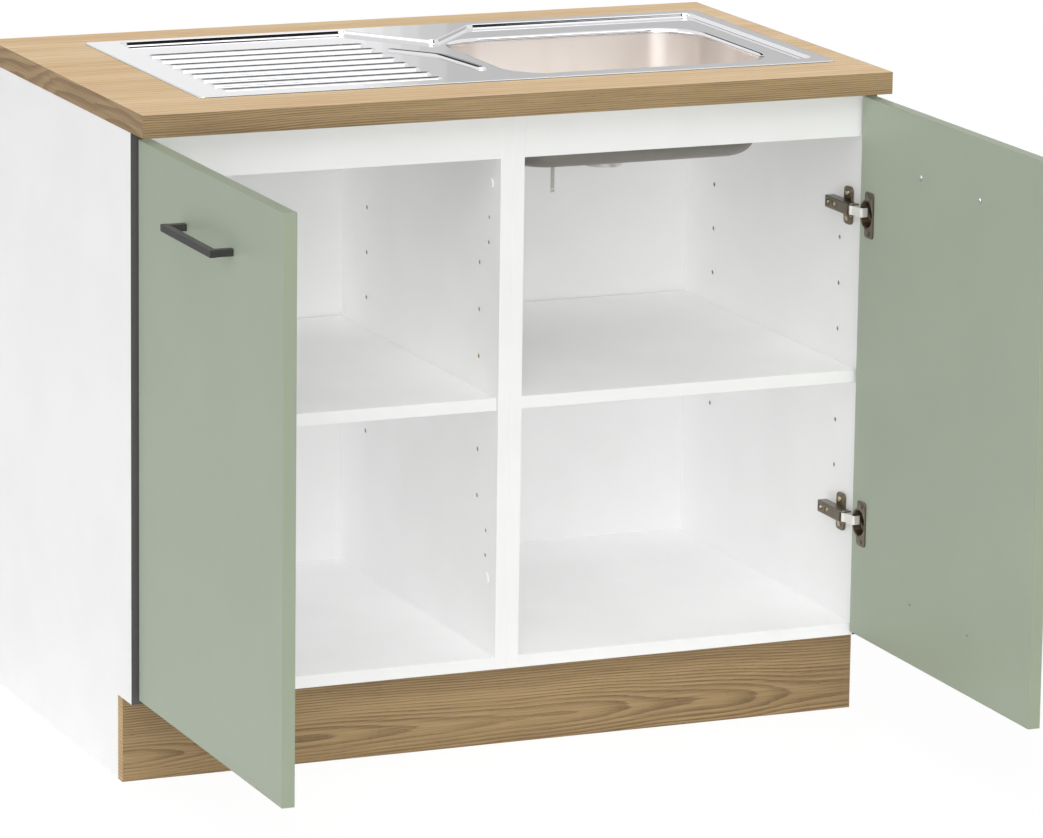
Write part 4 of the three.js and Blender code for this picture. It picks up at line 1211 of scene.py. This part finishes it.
print("skin:", len(top_points), "points,", len(top_faces), "faces")

# %% [markdown]
# ### Thickness and true normals
# Each point has a twin straight below it along its normal. The rim's edge and the hole for the
# waste are closed with strips of their own, and every corner of every face gets its normal.

# %% Double and close the sheet
count = len(top_points)
points = top_points + [p - n * SHEET for p, n in zip(top_points, top_normals)]
sheet_faces = top_faces + [[count + i for i in reversed(face)] for face in top_faces]
loops = [top_normals[i] for face in top_faces for i in face]
loops += [-top_normals[i] for face in top_faces for i in reversed(face)]
hole, outer = rows[-1], [index_of[i] for i in edge_rings[0]]
for i, j in zip(hole, hole[1:] + hole[:1]):
    sheet_faces.append([i, j, count + j, count + i])
    loops += [(centre - (points[i] + points[j]) / 2).normalized()] * 4
for i, j in zip(outer, outer[1:] + outer[:1]):
    sheet_faces.append([i, count + i, count + j, j])
    loops += [(points[j] - points[i]).cross(Vector((0, 0, 1))).normalized()] * 4
sink = piece_from("sink_sheet", points, sheet_faces)
sink.data.polygons.foreach_set("use_smooth", [True] * len(sink.data.polygons))
sink.data.normals_split_custom_set([tuple(n) for n in loops])
for finish in (steel, raw_steel):
    sink.data.materials.append(finish.material)
for face in sink.data.polygons[len(top_faces):2 * len(top_faces)]:
    face.material_index = 1
in_place(sink, "sink")
print("sink sheet:", len(sink.data.vertices), "points,", len(sink.data.polygons), "faces")

# %% [markdown]
# ## Waste and plug
# The waste's flange lies in the bowl with a bevelled edge, its neck goes down through the seal
# and the nut. The plug has a tapered body and a knob to pull it by. All are turned parts.

# %% Flange and plug
WASTE = (BOWL_X, BOWL_Y, 0)
flange = turned("waste_flange_ring", [
    (22, 698), (25, 698), (25, 721.1), (36, 721.1), (35.6, 721.7), (34.4, 722.4), (30, 722.5),
    (24.5, 722.3), (22.6, 721.6), (22, 720.4)], 72, WASTE)
finished(flange, "waste_flange", steel)
plug = turned("plug_body", [
    (0, 713.7), (18.0, 713.7), (18.6, 714.2), (20.5, 722.6), (23.4, 722.7), (24, 723.3),
    (23.8, 724.2), (21, 724.7), (7, 725.4), (3.4, 725.9), (3, 727), (3.6, 728.4), (5.4, 729.4),
    (6, 730.6), (5.4, 731.5), (3.4, 731.7), (0, 731.7)], 72, WASTE)
finished(plug, "plug", steel)
print("waste at", WASTE[:2])

# %% [markdown]
# ## Studio
# A pale floor and a white surround, as in a catalogue picture. The floor takes the object's
# shadow, and only what the camera sees of it is lifted to white. A surround that lit the boards
# at full strength would leave them flat, so it is bright where the steel mirrors it and weak
# where it lights, and the lamps do the rest.

# %% Floor and surround
WHITE = (1, 1, 1, 1)


def glow(stage, strength):
    return stage.node("Emission", {}, {"Color": WHITE, "Strength": strength})


ground = Finish("studio_floor", Roughness=0.9)
ground.set("Base Color", (0.86, 0.86, 0.86, 1))
seen = ground.node("LightPath", output="Is Camera Ray")
ground.show(ground.node("MixShader", {}, {
    0: seen * 0.85, 1: Signal(ground, ground.shader.outputs[0]), 2: glow(ground, 1.05)}))
floor = piece_from("studio_floor", [(x * 30000, y * 30000, -0.2) for x, y in (
    (-1, -1), (1, -1), (1, 1), (-1, 1))], [[0, 1, 2, 3]])
floor.data.materials.append(ground.material)

world = bpy.data.worlds.new("white_studio")
bpy.context.scene.world = world
world.use_nodes = True
surround = Graph(world.node_tree)
bright, weak = (surround.node("Background", {}, {"Color": WHITE, "Strength": strength})
                for strength in (1.0, 0.18))
lit = surround.node("LightPath", output="Is Diffuse Ray")
surround.show(surround.node("MixShader", {}, {0: lit, 1: bright, 2: weak}))
print("studio:", floor.name, world.name)

# %% [markdown]
# ### Black flags for the polished steel
# A polished sink in an all-white studio has nothing to reflect and looks like paper. Product
# photographers stand black and grey cards round it. These do the same: each is a patch of a
# large sphere round the sink, and only reflections see it. The scrims go from white to grey in
# small steps, so that no hard edge runs over the steel.

# %% Cards that only reflections see
def card(name, azimuths, elevations, tone, radius=6000):
    """azimuth 0 is the way to +Y, 90 the way to +X."""
    across = max(2, round((azimuths[1] - azimuths[0]) / 4))
    points = []
    for e in elevations:
        for i in range(across + 1):
            a = math.radians(azimuths[0] + (azimuths[1] - azimuths[0]) * i / across)
            flat = radius * math.cos(math.radians(e))
            points.append((flat * math.sin(a), 220 + flat * math.cos(a),
                           850 + radius * math.sin(math.radians(e))))
    made = piece_from(name, points, [[i, i + 1, across + 2 + i, across + 1 + i]
                                     for i in range(across)])
    paper = Finish(name)
    paper.show(glow(paper, tone))
    made.data.materials.append(paper.material)
    for ray in ("camera", "diffuse", "transmission", "volume_scatter", "shadow"):
        setattr(made, f"visible_{ray}", False)


card("horizon_flag", (-180, 118), (-10.8, 6.6), 0.02, 4400)
card("front_horizon_card", (118, 180), (-10.8, 6.6), 0.2, 4400)
starts = (-180, 20.6, 21, 21.4, 21.8, 22.4)
for number, (start, end) in enumerate(zip(starts, starts[1:] + (180,))):
    card(f"low_scrim_{number}", (start, end), (6.6, 11.2), 1 - 0.08 * number)
card("ridge_flag", (8, 25.5), (11.2, 30), 0.04)
card("front_low_flag", (143, 165), (7.4, 16), 0.02, 5800)
card("front_high_flag", (143, 165), (36, 60), 0.02, 5800)
card("left_rear_flag", (-128, -114), (38, 50), 0.02, 5800)

# %% [markdown]
# ### Lamps
# Four broad suns stand for large soft boxes: two in front, one at the side, one above. Area lamps
# would do too, but a sun lights the left and the right of a wide unit alike. A fifth throws no
# shadow and fills the compartments, which light thrown about a real room would reach.

# %% Soft lamps
def soft_sun(name, azimuth, elevation, level, spread, shadow=True):
    """A broad lamp far away. azimuth 0 shines along +Y, 90 along -X; level 1 lights to white."""
    light = bpy.data.lights.new(name, "SUN")
    light.energy, light.angle = level * math.pi, math.radians(spread)
    light.use_shadow = shadow
    a, e = math.radians(azimuth), math.radians(elevation)
    source = Vector((math.sin(a) * math.cos(e), -math.cos(a) * math.cos(e), math.sin(e)))
    added(name, light).rotation_euler = (-source).to_track_quat("-Z", "Y").to_euler()


soft_sun("low_front_lamp", -13, 5, 0.2, 22)
soft_sun("high_front_lamp", -20, 36, 0.32, 40)
soft_sun("side_lamp", -85, 15, 0.16, 40)
soft_sun("top_lamp", 0, 80, 0.2, 50)
soft_sun("fill_lamp", -60, 40, 0.32, 10, shadow=False)
bpy.context.scene.view_settings.view_transform = "Standard"
print("lamps:", *(lamp.name for lamp in bpy.data.lights))

# %% [markdown]
# ## Camera
# The picture is taken from the left, a little above the worktop, with a long lens. The place and
# angle could be found by eye, but they were solved from known corners of the unit, which is
# exact. So the camera's three axes are worked out from its angles.

# %% Aim the camera
yaw, pitch, roll = (math.radians(v) for v in (23.0119, -12.8247, 0.7513))
forward = Vector((math.sin(yaw) * math.cos(pitch), math.cos(yaw) * math.cos(pitch),
                  math.sin(pitch)))
level = Vector((math.cos(yaw), -math.sin(yaw), 0))
upright = level.cross(forward)
across = math.cos(roll) * level + math.sin(roll) * upright
up = -math.sin(roll) * level + math.cos(roll) * upright
lens = bpy.data.cameras.new("picture_camera")
lens.sensor_width, lens.lens = 36, 207.97
lens.clip_start, lens.clip_end = 0.1, 100
camera = added("picture_camera", lens)
camera.matrix_world = Matrix.Translation((-2.85694, -6.80738, 2.10258)) @ Matrix(
    (across, up, -forward)).transposed().to_4x4()
bpy.context.scene.camera = camera
print("camera at", [round(v, 2) for v in camera.matrix_world.translation], "m")
